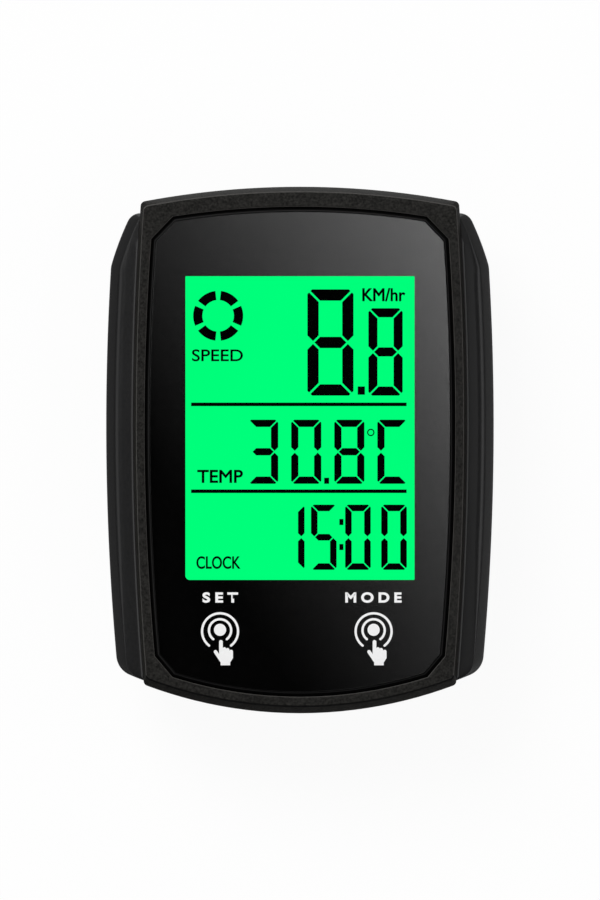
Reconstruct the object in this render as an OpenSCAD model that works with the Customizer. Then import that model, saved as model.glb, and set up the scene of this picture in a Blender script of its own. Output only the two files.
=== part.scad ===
// Handlebar cycling computer: a framed touch lens over a backlit display, soft side grips,
// and a rear case with a twist-lock foot and a coin-cell cover.
// +X is right and +Y is up as the rider reads it, +Z comes out of the face, z = 0 is the foot's rear face.

/* [Body outline] */
// Length from the top end to the bottom end
body_len = 60; // [58:0.5:66]
// Width over the two side grips where they are widest
grip_span = 44.26; // [42:0.1:48]
// How far each grip stands out past the front frame
grip_w = 2.9; // [2.2:0.05:3.4]
// Radius of the bowed sides
side_r = 297; // [240:1:400]
// Radius of the top end
top_r = 96; // [80:1:130]
// Radius of the bottom end
bottom_r = 50; // [44:1:60]
// How far the widest line lies above the middle
widest_y = 2.8; // [1:0.1:4]

/* [Shells] */
// Depth of the front frame, from the face to the parting line
frame_h = 7.4; // [7.2:0.1:9]
// Depth of the rear case, from the parting line to its back
case_h = 6.2; // [5.8:0.1:8]
// Wall of both shells
wall = 2; // [1.9:0.05:2.3]
// Floor of the rear case
floor_t = 1.5; // [1.2:0.1:1.8]
// Deck behind the lens, which the display is pressed against
deck_t = 0.8; // [0.7:0.05:1.2]
// Height of the sloping edge round the frame's face
skirt_h = 1.6; // [1.2:0.1:1.7]
// Width of that edge at the sides
skirt_side = 0.36; // [0.2:0.02:0.6]
// Width of that edge at the top
skirt_top = 0.55; // [0.3:0.05:0.9]
// Width of that edge at the bottom
skirt_bottom = 0.85; // [0.5:0.05:1.2]
// Rounding of the rear case's long edges, seen from the end
back_slope = 1.8; // [1:0.1:2.2]
// How far the rear case draws in at its two ends
back_draw = 3.4; // [2:0.1:3.8]

/* [Lens] */
// Thickness of the lens
lens_t = 1.5; // [1.2:0.1:2]
// How far the lens lies below the frame's face
lens_recess = 0.1; // [0.05:0.05:0.3]
// Gap all round the lens
lens_gap = 0.17; // [0.1:0.01:0.3]
// Bevel round the lens
lens_bevel = 0.35; // [0.2:0.05:0.6]
// Frame outside the lens opening, at the sides
land_side = 1.53; // [1.4:0.05:1.8]
// Frame outside the lens opening, at the top
land_top = 2.3; // [2:0.05:2.8]
// Frame outside the lens opening, at the bottom
land_bottom = 1.9; // [1.6:0.05:2.4]
// Middle of the cut upper corners, in from the frame's side
cut_top_x = 3.47; // [3:0.01:4]
// Middle of the cut upper corners, down from the frame's top
cut_top_y = 4.76; // [4.4:0.01:5.4]
// Middle of the cut lower corners, in from the frame's side
cut_bottom_x = 3.6; // [3.2:0.01:4.2]
// Middle of the cut lower corners, up from the frame's bottom
cut_bottom_y = 5.46; // [5:0.01:6]
// Direction that the cut upper corners face, from +X
cut_top_turn = 44; // [40:1:50]
// Direction that the cut lower corners face, from +X
cut_bottom_turn = -40; // [-46:1:-34]
// Thickness of the adhesive tape under the lens
tape_t = 0.2; // [0.1:0.05:0.3]
// Width of the adhesive tape
tape_w = 1.2; // [0.8:0.1:1.4]
// Thickness of the black border film behind the lens
film_t = 0.1; // [0.05:0.01:0.14]

/* [Display] */
// Width of the visible window
view_w = 26.1; // [25:0.1:26.6]
// Height of the visible window
view_h = 34.6; // [34:0.1:35.4]
// How far the window's middle lies above the body's middle
view_y = 2.5; // [2.2:0.1:3]
// Opening of the deck beyond the window, on each side
deck_margin = 0.4; // [0.2:0.05:0.6]
// Display beyond the window, on each side
lcd_border = 0.9; // [0.8:0.05:1.1]
// Thickness of each glass
glass_t = 0.7; // [0.5:0.05:0.8]
// Thickness of each polariser
polariser_t = 0.2; // [0.15:0.01:0.25]
// Ledge of the front glass that carries the contacts
ledge_w = 2.2; // [2:0.1:2.4]
// Thickness of the light guide
guide_t = 1.6; // [1.4:0.1:1.8]
// Thickness of the reflector under the light guide
reflector_t = 0.2; // [0.1:0.05:0.3]
// Wall of the backlight tray
tray_wall = 0.75; // [0.6:0.05:0.78]
// Thickness that the dark segments are drawn with
segment_t = 0.04; // [0.02:0.01:0.08]

/* [Board] */
// Thickness of the circuit board
board_t = 1; // [0.8:0.1:1.2]
// Gap between the circuit board and the frame's side walls
board_side_gap = 1.93; // [1.5:0.01:2.4]
// Circuit board past its two screws, at each end
board_edge = 1.8; // [1.2:0.05:1.9]
// Height of the two touch keys below the body's middle
key_y = -20.85; // [-21.3:0.05:-20.6]
// Middle of the left touch key, in from the frame's side
set_key_in = 10.13; // [9.9:0.01:10.8]
// Middle of the right touch key, in from the frame's side
mode_key_in = 10.78; // [10:0.01:11.2]
// Mean radius of a touch spring
spring_r = 1.7; // [1.4:0.05:1.9]
// Wire of a touch spring
spring_wire = 0.4; // [0.3:0.02:0.5]
// Turns of a touch spring
spring_turns = 4; // [3:1:5]

/* [Battery] */
// Diameter of the coin cell
cell_d = 20; // [19.6:0.1:20.4]
// Thickness of the coin cell
cell_t = 3.2; // [2.6:0.1:3.4]
// Room round the coin cell
cell_room = 0.3; // [0.2:0.05:0.5]
// Space above the cell for its contacts
contact_room = 0.75; // [0.6:0.05:0.9]
// Roof of the cell's well
roof_t = 0.8; // [0.6:0.05:1]
// How far the cover lies inside the foot's face
cover_recess = 0.25; // [0.1:0.05:0.4]
// Thickness of the cover's flange
flange_t = 1.5; // [1.3:0.05:1.6]
// How far the flange stands out past the spigot
flange_step = 1.1; // [1:0.05:1.3]
// Thickness of the retaining ring that the lugs turn behind
ring_t = 0.8; // [0.6:0.05:0.9]
// Thickness of the cover's lugs
lug_t = 0.7; // [0.5:0.05:0.8]
// Angle that each cover lug spans
lug_angle = 24; // [16:1:28]
// Turn that frees the cover
cover_turn = 60; // [50:1:64]
// Section of the cover's seal ring
seal_d = 0.66; // [0.5:0.02:0.7]
// Width of the coin slot
coin_slot_w = 1.8; // [1.4:0.1:2.2]
// Length of the coin slot
coin_slot_len = 14; // [10:0.5:17]
// Depth of the coin slot
coin_slot_deep = 0.9; // [0.6:0.05:1]

/* [Twist-lock foot] */
// Diameter of the foot's neck
foot_d = 30; // [29.4:0.1:32]
// Height of the foot
foot_h = 3.4; // [3.2:0.1:4.4]
// How far the foot's lugs stand out of the neck
foot_lug = 1.8; // [1:0.1:2.2]
// Thickness of the foot's lugs
foot_lug_t = 1.5; // [1:0.1:1.8]
// Angle that each foot lug spans
foot_lug_angle = 36; // [24:1:44]

/* [Screws] */
// Middle of the case screws, in from the frame's sides
screw_in = 5.43; // [5.2:0.01:5.7]
// Thread diameter of the case screws
screw_d = 2; // [1.6:0.1:2.2]
// Head diameter of the case screws
screw_head_d = 3.5; // [3:0.1:3.8]
// Head height of the case screws
screw_head_h = 1.3; // [1:0.1:1.4]
// Thread length of the case screws
screw_len = 8; // [7:0.1:8.6]
// Thread diameter of the board screws
board_screw_d = 1.4; // [1.2:0.1:1.6]
// Thread length of the board screws, from under the head
board_screw_len = 4; // [3:0.1:4.4]

/* [Side grips] */
// Height of the grips' top face above the parting line
grip_rise = 5.6; // [5:0.1:5.8]
// Height of the grips' lower edge above the case's back
grip_foot = 1.2; // [1:0.1:2]
// Height of the grips' widest line above the parting line
grip_belly = 1.9; // [1:0.1:2.6]
// How far the crease along the grips lies inside their widest line
grip_crease = 1.15; // [0.8:0.05:1.4]
// Rounding of the grips' upper ends
grip_round_top = 1.6; // [1:0.1:2]
// Rounding of the grips' lower ends
grip_round_bottom = 2.5; // [1.6:0.1:3]
// Distance of the grips' upper ends below the body's top
grip_top_in = 2.95; // [2.6:0.05:3.6]
// Distance of the grips' lower ends inside the frame's bottom curve
grip_bottom_in = 0.5; // [0.3:0.05:0.9]
// Place where the grips turn inwards near their upper ends, from the middle
grip_elbow_y = 20.8; // [19:0.1:22]
// Lean of the grips' upper ends, from upright
grip_lean = 19.3; // [14:0.1:24]

/* [Hidden] */
arc_fn = 720;
round_fn = 64;
eps = 0.01;
touch_gap = 0.03;
slide_gap = 0.15;
hole_gap = 0.02;

frame_w = grip_span - 2 * grip_w;
board_w = frame_w - 2 * (wall + board_side_gap);
set_key_x = set_key_in - frame_w / 2;
mode_key_x = frame_w / 2 - mode_key_in;

// Levels, counted from the foot's rear face
z_back = foot_h;
z_floor = z_back + floor_t;
z_part = z_back + case_h;
z_face = z_part + frame_h;
z_skirt = z_face - skirt_h;
z_lens_top = z_face - lens_recess;
z_lens = z_lens_top - lens_t;
z_film = z_lens - film_t;
z_deck_top = z_lens - tape_t;
z_deck = z_deck_top - deck_t;
z_front_glass = z_deck - polariser_t - glass_t;
z_rear_glass = z_front_glass - glass_t;
z_guide_top = z_rear_glass - polariser_t;
z_guide = z_guide_top - guide_t;
z_board_top = z_guide - reflector_t;
z_board = z_board_top - board_t;

// Levels of the battery stack, counted from the foot's rear face
z_flange = cover_recess + flange_t;
z_lug = z_flange + ring_t;
z_cover_top = z_lug + lug_t;
z_cell = z_cover_top + slide_gap;
z_cell_top = z_cell + cell_t;
z_ceiling = z_cell_top + contact_room;
z_roof = z_ceiling + roof_t;

// Radii of the battery stack
well_r = cell_d / 2 + cell_room;
cell_shoulder = 0.4;
spigot_bore_r = well_r + cell_shoulder;
spigot_r = spigot_bore_r - slide_gap;
flange_r = spigot_r + flange_step;
flange_bore_r = flange_r + slide_gap;
lug_in = 0.2;
lug_r = flange_r - lug_in;
pocket_r = lug_r + slide_gap;
foot_ledge = 1.8;
well_out_r = foot_d / 2 - foot_ledge;

// Sizes of the display stack
lcd_w = view_w + 2 * lcd_border;
view_top = view_y + view_h / 2;
view_bottom = view_y - view_h / 2;
lcd_top = view_top + lcd_border;
lcd_bottom = view_bottom - lcd_border;
guide_side_past = 0.2;
guide_low_past = 0.15;
guide_side = view_w / 2 + guide_side_past;
guide_top_y = view_top - lcd_border;
guide_bottom_y = view_bottom - guide_low_past;
led = [2.8, 1, 1.2];
led_gap = 0.1;
led_x = 6;
tray_room = 0.05;
tray_top_y = guide_top_y + led[1] + 2.5 * led_gap;
zebra_gap = 0.2;
zebra_w = ledge_w - 2.5 * zebra_gap;

// Bosses and holes that the screws need
post_r = 2.2;
tube_wall = 0.65;
tube_r = screw_head_d / 2 + tube_wall;
head_sink = 0.3;
counterbore_deep = screw_head_h + head_sink;
board_boss_r = 1.9;
board_head_r = 1.5;
board_head_h = 0.9;
key_room = 0.7;
key_hole_r = spring_r + spring_wire / 2 + key_room;
boss_gap = 0.4;
board_screw_y = lcd_top + boss_gap + board_boss_r;
board_len = 2 * (board_screw_y + board_edge);
screw_x = frame_w / 2 - screw_in;
screw_high_y = lcd_top + 1.5 * boss_gap + post_r;
screw_below_key = 0.75;
screw_low_y = key_y - screw_below_key;
post_room = 0.3;

// Seal groove and grip rib at the parting line, as insets from the outline
seal_in = 0.75;
seal_w = 0.6;
seal_h = 0.6;
rib_deep = 0.5;
rib_h = 0.7;
rib_len = 36;

// Step between the two shells at the parting line, at the ends
part_step = 0.2;

frame_black = [0.15, 0.145, 0.14];
grip_black = [0.14, 0.14, 0.14];

// One bowed side of the body, drawn in by a0 at z0 and by a1 at z1
module bowed_side(side, z0, z1, a0, a1)
    translate([side * (frame_w / 2 - side_r), widest_y, z0])
        rotate(side > 0 ? 180 : 0)
            cylinder(h = z1 - z0, r1 = side_r - a0, r2 = side_r - a1, $fn = arc_fn);

// A layer of the body's outline. Insets are [sides, top, bottom], at z0 and at z1.
module layer(z0, z1, in0, in1)
    intersection() {
        bowed_side(1, z0, z1, in0[0], in1[0]);
        bowed_side(-1, z0, z1, in0[0], in1[0]);
        translate([0, body_len / 2 - top_r, z0])
            cylinder(h = z1 - z0, r1 = top_r - in0[1], r2 = top_r - in1[1], $fn = arc_fn);
        translate([0, bottom_r - body_len / 2, z0])
            cylinder(h = z1 - z0, r1 = bottom_r - in0[2], r2 = bottom_r - in1[2], $fn = arc_fn);
    }

function same(a) = [a, a, a];
lands = [land_side, land_top, land_bottom];

// What a cut corner takes away, drawn in by a0 at z0 and by a1 at z1, and carried on past both levels
module corner_wedge(z0, z1, a0, a1) {
    past = 1;
    slope = past * (a1 - a0) / (z1 - z0);
    rotate([90, 0, 0])
        linear_extrude(12, center = true)
            polygon([[slope - a0, z0 - past], [8, z0 - past], [8, z1 + past], [-slope - a1, z1 + past]]);
}

module corner_wedges(z0, z1, a0, a1)
    for (side = [0, 1])
        mirror([side, 0, 0]) {
            translate([frame_w / 2 - cut_top_x, body_len / 2 - cut_top_y, 0])
                rotate(cut_top_turn) corner_wedge(z0, z1, a0, a1);
            translate([frame_w / 2 - cut_bottom_x, cut_bottom_y - body_len / 2, 0])
                rotate(cut_bottom_turn) corner_wedge(z0, z1, a0, a1);
        }

// A layer of the lens opening's outline, drawn in by a0 and a1, with its four cut corners drawn in by more
module lens_layer(z0, z1, a0, a1, more = 0)
    difference() {
        layer(z0, z1, [for (x = lands) x + a0], [for (x = lands) x + a1]);
        corner_wedges(z0, z1, a0 + more, a1 + more);
    }

module at_screws()
    for (x = [-screw_x, screw_x], y = [screw_low_y, screw_high_y])
        translate([x, y, 0]) children();

module at_board_screws()
    for (y = [-1, 1])
        translate([0, y * board_screw_y, 0]) children();

module at_keys()
    for (x = [set_key_x, mode_key_x])
        translate([x, key_y, 0]) children();

module drum(r, z0, z1)
    translate([0, 0, z0]) cylinder(h = z1 - z0, r = r, $fn = round_fn);

module block(x0, x1, y0, y1, z0, z1)
    translate([x0, y0, z0]) cube([x1 - x0, y1 - y0, z1 - z0]);

// A part of a ring, from the angle start through span degrees
module ring_part(r0, r1, z0, z1, start, span)
    rotate(start)
        rotate_extrude(angle = span, $fn = round_fn)
            translate([r0, z0]) square([r1 - r0, z1 - z0]);

// Front frame: wall, sloping edge, lens opening and deck

module front_frame() color(frame_black)
    difference() {
        union() {
            difference() {
                union() {
                    layer(z_part, z_skirt, same(0), same(0));
                    layer(z_skirt, z_face, same(0), [skirt_side, skirt_top, skirt_bottom]);
                }
                lens_layer(z_deck_top, z_face + 1, 0, 0);
                layer(z_part - 1, z_deck, same(wall), same(wall));
            }
            at_screws() drum(post_r, z_part, z_deck + eps);
            at_board_screws() drum(board_boss_r, z_board_top, z_deck + eps);
        }
        block(-view_w / 2 - deck_margin, view_w / 2 + deck_margin,
              view_bottom - deck_margin, view_top + deck_margin, z_deck - 1, z_deck_top + 1);
        at_keys() drum(key_hole_r, z_deck - 1, z_deck_top + 1);
        at_screws() drum(screw_d / 2 + hole_gap, z_part - 1, z_screw_head + screw_len + 0.4);
        at_board_screws()
            drum(board_screw_d / 2 + hole_gap, z_board_top - 1, z_board + board_screw_len + 0.3);
    }

// Lens and what lies under it

module lens() color([0.85, 0.9, 0.9, 0.3]) {
    bevelled_in = lens_gap + lens_bevel;
    intersection() {
        lens_layer(z_lens, z_lens_top, lens_gap, lens_gap);
        lens_layer(z_lens, z_lens_top, bevelled_in - lens_t, bevelled_in, touch_gap);
    }
}

module border_film() color("black")
    difference() {
        lens_layer(z_film, z_lens, lens_gap + tape_w + 0.1, lens_gap + tape_w + 0.1);
        block(-view_w / 2, view_w / 2, view_bottom, view_top, z_film - 1, z_lens + 1);
    }

module lens_tape() color("black")
    difference() {
        lens_layer(z_deck_top, z_lens, lens_gap, lens_gap);
        lens_layer(z_deck_top - 1, z_lens + 1, lens_gap + tape_w, lens_gap + tape_w);
    }

// Display glass, from the front to the back

module lcd_plate(z0, z1, bottom)
    block(-lcd_w / 2, lcd_w / 2, bottom, lcd_top, z0, z1);

module front_polariser() color([0, 1, 0.48]) lcd_plate(z_deck - polariser_t, z_deck, lcd_bottom);

module front_glass() color([0.7, 0.8, 0.75, 0.4])
    lcd_plate(z_front_glass, z_deck - polariser_t, lcd_bottom - ledge_w);

module rear_glass() color([0.7, 0.8, 0.75, 0.4]) lcd_plate(z_rear_glass, z_front_glass, lcd_bottom);

module rear_polariser() color([0.5, 0.55, 0.5]) lcd_plate(z_guide_top, z_rear_glass, lcd_bottom);

// Dark segments of the display, as thin tiles on the front polariser.
// A digit's segments are a to f clockwise from the top, then g across the middle.

DIGITS = [
    [1, 1, 1, 1, 1, 1, 0], [0, 1, 1, 0, 0, 0, 0], [1, 1, 0, 1, 1, 0, 1], [1, 1, 1, 1, 0, 0, 1],
    [0, 1, 1, 0, 0, 1, 1], [1, 0, 1, 1, 0, 1, 1], [1, 0, 1, 1, 1, 1, 1], [1, 1, 1, 0, 0, 0, 0],
    [1, 1, 1, 1, 1, 1, 1], [1, 1, 1, 1, 0, 1, 1]
];
LETTER_C = [1, 0, 0, 1, 1, 1, 0];

module bar_segment(w, h, t, gap)
    polygon([[gap, h], [w - gap, h], [w - t - gap, h - t], [t + gap, h - t]]);

module side_segment(w, h, t, gap)
    polygon([[0, h - gap], [t, h - t - gap], [t, h / 2 + t / 2 + gap],
             [t / 2, h / 2 + gap], [0, h / 2 + t / 2 + gap]]);

module middle_segment(w, h, t, gap)
    polygon([[t / 2 + gap, h / 2], [t + gap, h / 2 + t / 2], [w - t - gap, h / 2 + t / 2],
             [w - t / 2 - gap, h / 2], [w - t - gap, h / 2 - t / 2], [t + gap, h / 2 - t / 2]]);

module flip_x(w) translate([w, 0]) mirror([1, 0]) children();

module flip_y(h) translate([0, h]) mirror([0, 1]) children();

// A digit in a cell with its lower right corner at [right, bottom] and cut outer corners
module digit(lit, right, bottom, w, h, t) {
    gap = 0.13 * t;
    cut = 0.42 * t;
    translate([right - w, bottom])
        intersection() {
            polygon([[cut, 0], [w - cut, 0], [w, cut], [w, h - cut],
                     [w - cut, h], [cut, h], [0, h - cut], [0, cut]]);
            union() {
                if (lit[0]) bar_segment(w, h, t, gap);
                if (lit[1]) flip_x(w) side_segment(w, h, t, gap);
                if (lit[2]) flip_x(w) flip_y(h) side_segment(w, h, t, gap);
                if (lit[3]) flip_y(h) bar_segment(w, h, t, gap);
                if (lit[4]) flip_y(h) side_segment(w, h, t, gap);
                if (lit[5]) side_segment(w, h, t, gap);
                if (lit[6]) middle_segment(w, h, t, gap);
            }
        }
}

module dot(right, bottom, w, h) translate([right - w, bottom]) square([w, h]);

// Rows are placed from the window's top edge, columns from its right edge
speed_base = view_top - 13.6;
temp_base = view_top - 23.65;
clock_base = view_top - 33.45;
rule_rows = [view_top - 14.8, view_top - 24.7];
rule_h = 0.4;
view_right = view_w / 2;

module speed_row() {
    digit(DIGITS[8], view_right - 6.95, speed_base, 5.25, 12.1, 1.28);
    dot(view_right - 5.65, speed_base + 0.1, 0.82, 0.94);
    digit(DIGITS[8], view_right - 1.35, speed_base, 3.9, 9.95, 1.03);
}

module temp_row() {
    digits = [DIGITS[3], DIGITS[0], DIGITS[8], LETTER_C];
    for (i = [0:3])
        digit(digits[i], view_right - 15.53 + 4.91 * i, temp_base, 3.43, 7.3, 0.82);
    dot(view_right - 9.73, temp_base, 0.56, 0.69);
    translate([view_right - 4.98, temp_base + 5.85])
        difference() {
            circle(r = 0.42, $fn = round_fn);
            circle(r = 0.29, $fn = round_fn);
        }
}

module clock_row() {
    digits = [DIGITS[1], DIGITS[5], DIGITS[0], DIGITS[0]];
    digit_rights = [12.53, 8.88, 4.99, 0.88];
    for (i = [0:3])
        digit(digits[i], view_right - digit_rights[i], clock_base, 2.91, 7.42, 0.74);
    for (y = [2.25, 5.1])
        dot(view_right - 8.1, clock_base + y, 0.46, 0.69);
}

module rules()
    for (y = rule_rows)
        translate([-view_w / 2 + 0.65, y]) square([view_w - 1.55, rule_h]);

module wheel_ring()
    for (i = [0:5])
        translate([view_right - 22.37, view_top - 4.51])
            ring_part(1.8, 2.85, z_deck, z_deck + segment_t, 60 * i - 23.5, 47);

module lcd_segments() color("black") {
    translate([0, 0, z_deck])
        linear_extrude(segment_t) {
            speed_row();
            temp_row();
            clock_row();
            rules();
        }
    wheel_ring();
}

// Backlight and contacts

module light_guide() color([0.9, 1, 0.95])
    block(-guide_side, guide_side, guide_bottom_y, guide_top_y, z_guide, z_guide_top);

module reflector() color("white")
    block(-guide_side, guide_side, guide_bottom_y, guide_top_y, z_board_top, z_guide);

module backlight_tray() color("whitesmoke") {
    in_x = guide_side + tray_room;
    in_y = guide_bottom_y - tray_room;
    difference() {
        block(-in_x - tray_wall, in_x + tray_wall, in_y - tray_wall, tray_top_y + tray_wall,
              z_board_top, z_guide_top);
        block(-in_x, in_x, in_y, tray_top_y, z_board_top - 1, z_guide_top + 1);
    }
}

module backlight_leds() color("lightyellow")
    for (x = [-led_x, led_x])
        block(x - led[0] / 2, x + led[0] / 2, guide_top_y + led_gap, guide_top_y + led_gap + led[1],
              z_board_top, z_board_top + led[2]);

module zebra_strip() color("dimgray")
    block(-view_w / 2, view_w / 2, lcd_bottom - zebra_gap - zebra_w, lcd_bottom - zebra_gap,
          z_board_top, z_front_glass);

// Circuit board and what is on it

notch_x = screw_x - post_r - post_room;

module circuit_board() color("darkgreen")
    difference() {
        block(-board_w / 2, board_w / 2, -board_len / 2, board_len / 2, z_board, z_board_top);
        at_screws() drum(post_r + post_room, z_board - 1, z_board_top + 1);
        for (side = [0, 1])
            mirror([side, 0, 0]) {
                block(notch_x, board_w, screw_high_y, board_len, z_board - 1, z_board_top + 1);
                block(notch_x, board_w, -board_len, screw_low_y, z_board - 1, z_board_top + 1);
            }
        at_board_screws() drum(board_screw_d / 2 + 0.15, z_board - 1, z_board_top + 1);
    }

spring_rings = 12;
spring_sides = 6;
spring_low = z_board_top + spring_wire / 2;
spring_rise = z_film - spring_wire / 2 - spring_low;

function spring_point(i) =
    let (a = 360 * i / spring_rings)
    [spring_r * cos(a), spring_r * sin(a), spring_low + spring_rise * i / (spring_rings * spring_turns)];

spring_path = [for (i = [0:spring_rings * spring_turns]) spring_point(i)];
spring_gap = min([for (i = [0:len(spring_path) - 1], j = [i + spring_rings / 2:1:len(spring_path) - 1])
                  norm(spring_path[i] - spring_path[j])]) - spring_wire;
echo(touch_spring_least_gap = spring_gap);

// A tube of round wire along the spring's path, closed at both ends
module touch_spring(x) {
    n = len(spring_path);
    points = [for (i = [0:n - 1], k = [0:spring_sides - 1])
        let (a = 360 * i / spring_rings, b = 360 * k / spring_sides, r = spring_wire / 2)
        spring_path[i] + r * [cos(a) * cos(b), sin(a) * cos(b), sin(b)]];
    ring = function(i, k) i * spring_sides + k % spring_sides;
    walls = [for (i = [0:n - 2], k = [0:spring_sides - 1])
        each [[ring(i, k), ring(i, k + 1), ring(i + 1, k)],
              [ring(i, k + 1), ring(i + 1, k + 1), ring(i + 1, k)]]];
    ends = [for (k = [1:spring_sides - 2])
        each [[ring(0, 0), ring(0, k + 1), ring(0, k)],
              [ring(n - 1, 0), ring(n - 1, k), ring(n - 1, k + 1)]]];
    translate([x, key_y, 0]) polyhedron(points, concat(walls, ends));
}

module set_touch_spring() color("silver") touch_spring(set_key_x);

module mode_touch_spring() color("silver") touch_spring(mode_key_x);

controller_at = [4.5, -18.6];
controller_r = 4;
controller_h = 1.1;

// Epoxy over the bonded controller chip, a low mound that points down
module controller() color([0.05, 0.05, 0.05])
    translate([controller_at[0], controller_at[1], z_board - controller_h])
        cylinder(h = controller_h, r1 = 0.6 * controller_r, r2 = controller_r, $fn = round_fn);

crystal_r = 1;
crystal_len = 6;
crystal_at = [-5.5, -20.5];

module clock_crystal() color("silver")
    translate([crystal_at[0], crystal_at[1], z_board - crystal_r])
        rotate([0, 90, 0]) cylinder(h = crystal_len, r = crystal_r, center = true, $fn = round_fn);

core = [12, 2.2, 2.2];
core_y = 18;
winding_len = 8;
winding_wall = 0.5;

module receiver_core() color([0.2, 0.2, 0.22])
    block(-core[0] / 2, core[0] / 2, core_y - core[1] / 2, core_y + core[1] / 2,
          z_board - winding_wall - core[2], z_board - winding_wall);

module receiver_winding() color("peru")
    difference() {
        block(-winding_len / 2, winding_len / 2,
              core_y - core[1] / 2 - winding_wall, core_y + core[1] / 2 + winding_wall,
              z_board - 2 * winding_wall - core[2], z_board);
        receiver_core();
    }

sensor_at = [-12.6, 14.4];
sensor_r = 0.9;

module temperature_sensor() color("saddlebrown")
    translate([sensor_at[0], sensor_at[1], z_board - sensor_r]) {
        sphere(r = sensor_r, $fn = round_fn);
        cylinder(h = sensor_r, r = sensor_r / 2, $fn = round_fn);
    }

chip = [1.6, 0.8, 0.6];
chip_rows = [for (i = [0:4]) [-11 + 2.6 * i, -17]];

module chip_parts() color("tan")
    for (p = chip_rows)
        block(p[0] - chip[0] / 2, p[0] + chip[0] / 2, p[1] - chip[1] / 2, p[1] + chip[1] / 2,
              z_board - chip[2], z_board);

// A pan-head screw that points up, with a cross recess in its head. z is the level under its head.
module screw(z, head_r, head_h, thread_r, len) {
    recess_w = 0.28 * head_r;
    recess_len = 1.2 * head_r;
    difference() {
        union() {
            drum(head_r, z - head_h, z);
            drum(thread_r, z - eps, z + len);
        }
        for (a = [0, 90])
            rotate(a) translate([0, 0, z - head_h])
                cube([recess_w, recess_len, head_h], center = true);
    }
}

module board_screws() color("silver")
    at_board_screws() screw(z_board, board_head_r, board_head_h, board_screw_d / 2, board_screw_len);

// Rear case: shell, screw tubes, battery well and twist-lock foot

z_screw_head = z_back + counterbore_deep;
z_flank = z_back + grip_foot;
z_shoulder = z_back + 0.55 * case_h;
draw_part = [0, part_step, part_step];
draw_shoulder = [0, part_step + 0.18 * back_draw, part_step + 0.18 * back_draw];
draw_flank = [0, 0.55 * back_draw, 0.55 * back_draw];
draw_back = [back_slope, back_draw, back_draw];

function grown(a, d) = [for (x = a) x - d];

// The rear case's outer shape, grown by d
module case_body(d) {
    layer(z_shoulder, z_part, grown(draw_shoulder, d), grown(draw_part, d));
    layer(z_flank, z_shoulder + (d > 0 ? eps : 0), grown(draw_flank, d), grown(draw_shoulder, d));
    layer(z_back, z_flank + (d > 0 ? eps : 0), grown(draw_back, d), grown(draw_flank, d));
}

// The ribs inside the grips that the two shells clamp, grown by d, up to the level top
module grip_ribs(d, top)
    intersection() {
        difference() {
            layer(z_part - rib_h - d, top, same(-1), same(-1));
            layer(z_part - rib_h - d - 1, top + 1, same(rib_deep + d), same(rib_deep + d));
        }
        block(-grip_span, grip_span, widest_y - rib_len / 2 - d, widest_y + rib_len / 2 + d,
              z_part - rib_h - 1, top + 1);
    }

// The gasket in the rear case's rim, grown by d, up to the level top
module seal_ring(d, top)
    difference() {
        layer(z_part - seal_h, top, same(seal_in - d), same(seal_in - d));
        layer(z_part - seal_h - 1, top + 1, same(seal_in + seal_w + d), same(seal_in + seal_w + d));
    }

module case_seal() color([0.25, 0.25, 0.25]) seal_ring(0, z_part);

pocket_open = lug_angle / 2 + 0.5;
pocket_span = cover_turn + 2 * pocket_open;

// The cover turns about the foot's axis. Its lugs sit at 90, 210 and 330 degrees when it is shut.
module at_lugs() for (a = [90, 210, 330]) rotate(a) children();

module battery_hole() {
    drum(flange_bore_r, -1, z_flange + touch_gap);
    drum(spigot_bore_r, 0, z_cell);
    drum(well_r, z_cell - eps, z_ceiling);
    at_lugs() {
        ring_part(well_r, pocket_r, z_lug - touch_gap, z_cover_top + touch_gap,
                  pocket_open - pocket_span, pocket_span);
        ring_part(well_r, pocket_r, z_flange - eps, z_lug, pocket_open - pocket_span, 2 * pocket_open);
    }
}

contact_t = 0.25;
contact_w = 3;
negative_leg_x = cell_d / 4;
positive_gap = 1.1;
positive_x = cell_d / 2 + positive_gap;

module contact_slots() {
    block(negative_leg_x - touch_gap, negative_leg_x + contact_t + touch_gap,
          -contact_w / 2 - touch_gap, contact_w / 2 + touch_gap, z_ceiling - 1, z_roof + 1);
    block(-positive_x - touch_gap, -well_r + 0.5, -contact_w / 2 - touch_gap, contact_w / 2 + touch_gap,
          z_cell + 0.5, z_roof + 1);
}

module foot_lugs()
    for (a = [0:90:270])
        ring_part(foot_d / 2 - 0.5, foot_d / 2 + foot_lug, 0, foot_lug_t, a + 45 - foot_lug_angle / 2,
                  foot_lug_angle);

module rear_case() color(frame_black)
    difference() {
        union() {
            difference() {
                case_body(0);
                layer(z_floor, z_part + 1, same(wall + back_slope), same(wall));
            }
            at_screws() drum(tube_r, z_back + eps, z_part);
            drum(well_out_r, 0, z_roof);
            drum(foot_d / 2, 0, z_floor - eps);
            foot_lugs();
        }
        battery_hole();
        contact_slots();
        seal_ring(touch_gap, z_part + 1);
        grip_ribs(touch_gap, z_part + 1);
        at_screws() {
            drum(screw_d / 2 + 0.15, z_back - 1, z_part + 1);
            drum(screw_head_d / 2 + 0.15, z_back - 1, z_screw_head);
        }
    }

module case_screws() color("dimgray")
    at_screws() screw(z_screw_head, screw_head_d / 2, screw_head_h, screw_d / 2, screw_len);

// Side grips

grip_top = z_part + grip_rise;
grip_low = z_back + grip_foot;
grip_wide_z = z_part + grip_belly;

// Level of each outline up the grip, and how far it is drawn in
grip_levels = [
    [grip_low, 0.9 * grip_w], [grip_low + 0.35, 0.72 * grip_w], [grip_low + 1.7, 0.31 * grip_w],
    [grip_wide_z - 2, 0], [grip_wide_z, 0],
    [grip_top - 0.2, grip_crease], [grip_top, grip_crease + 0.35]
];

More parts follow.
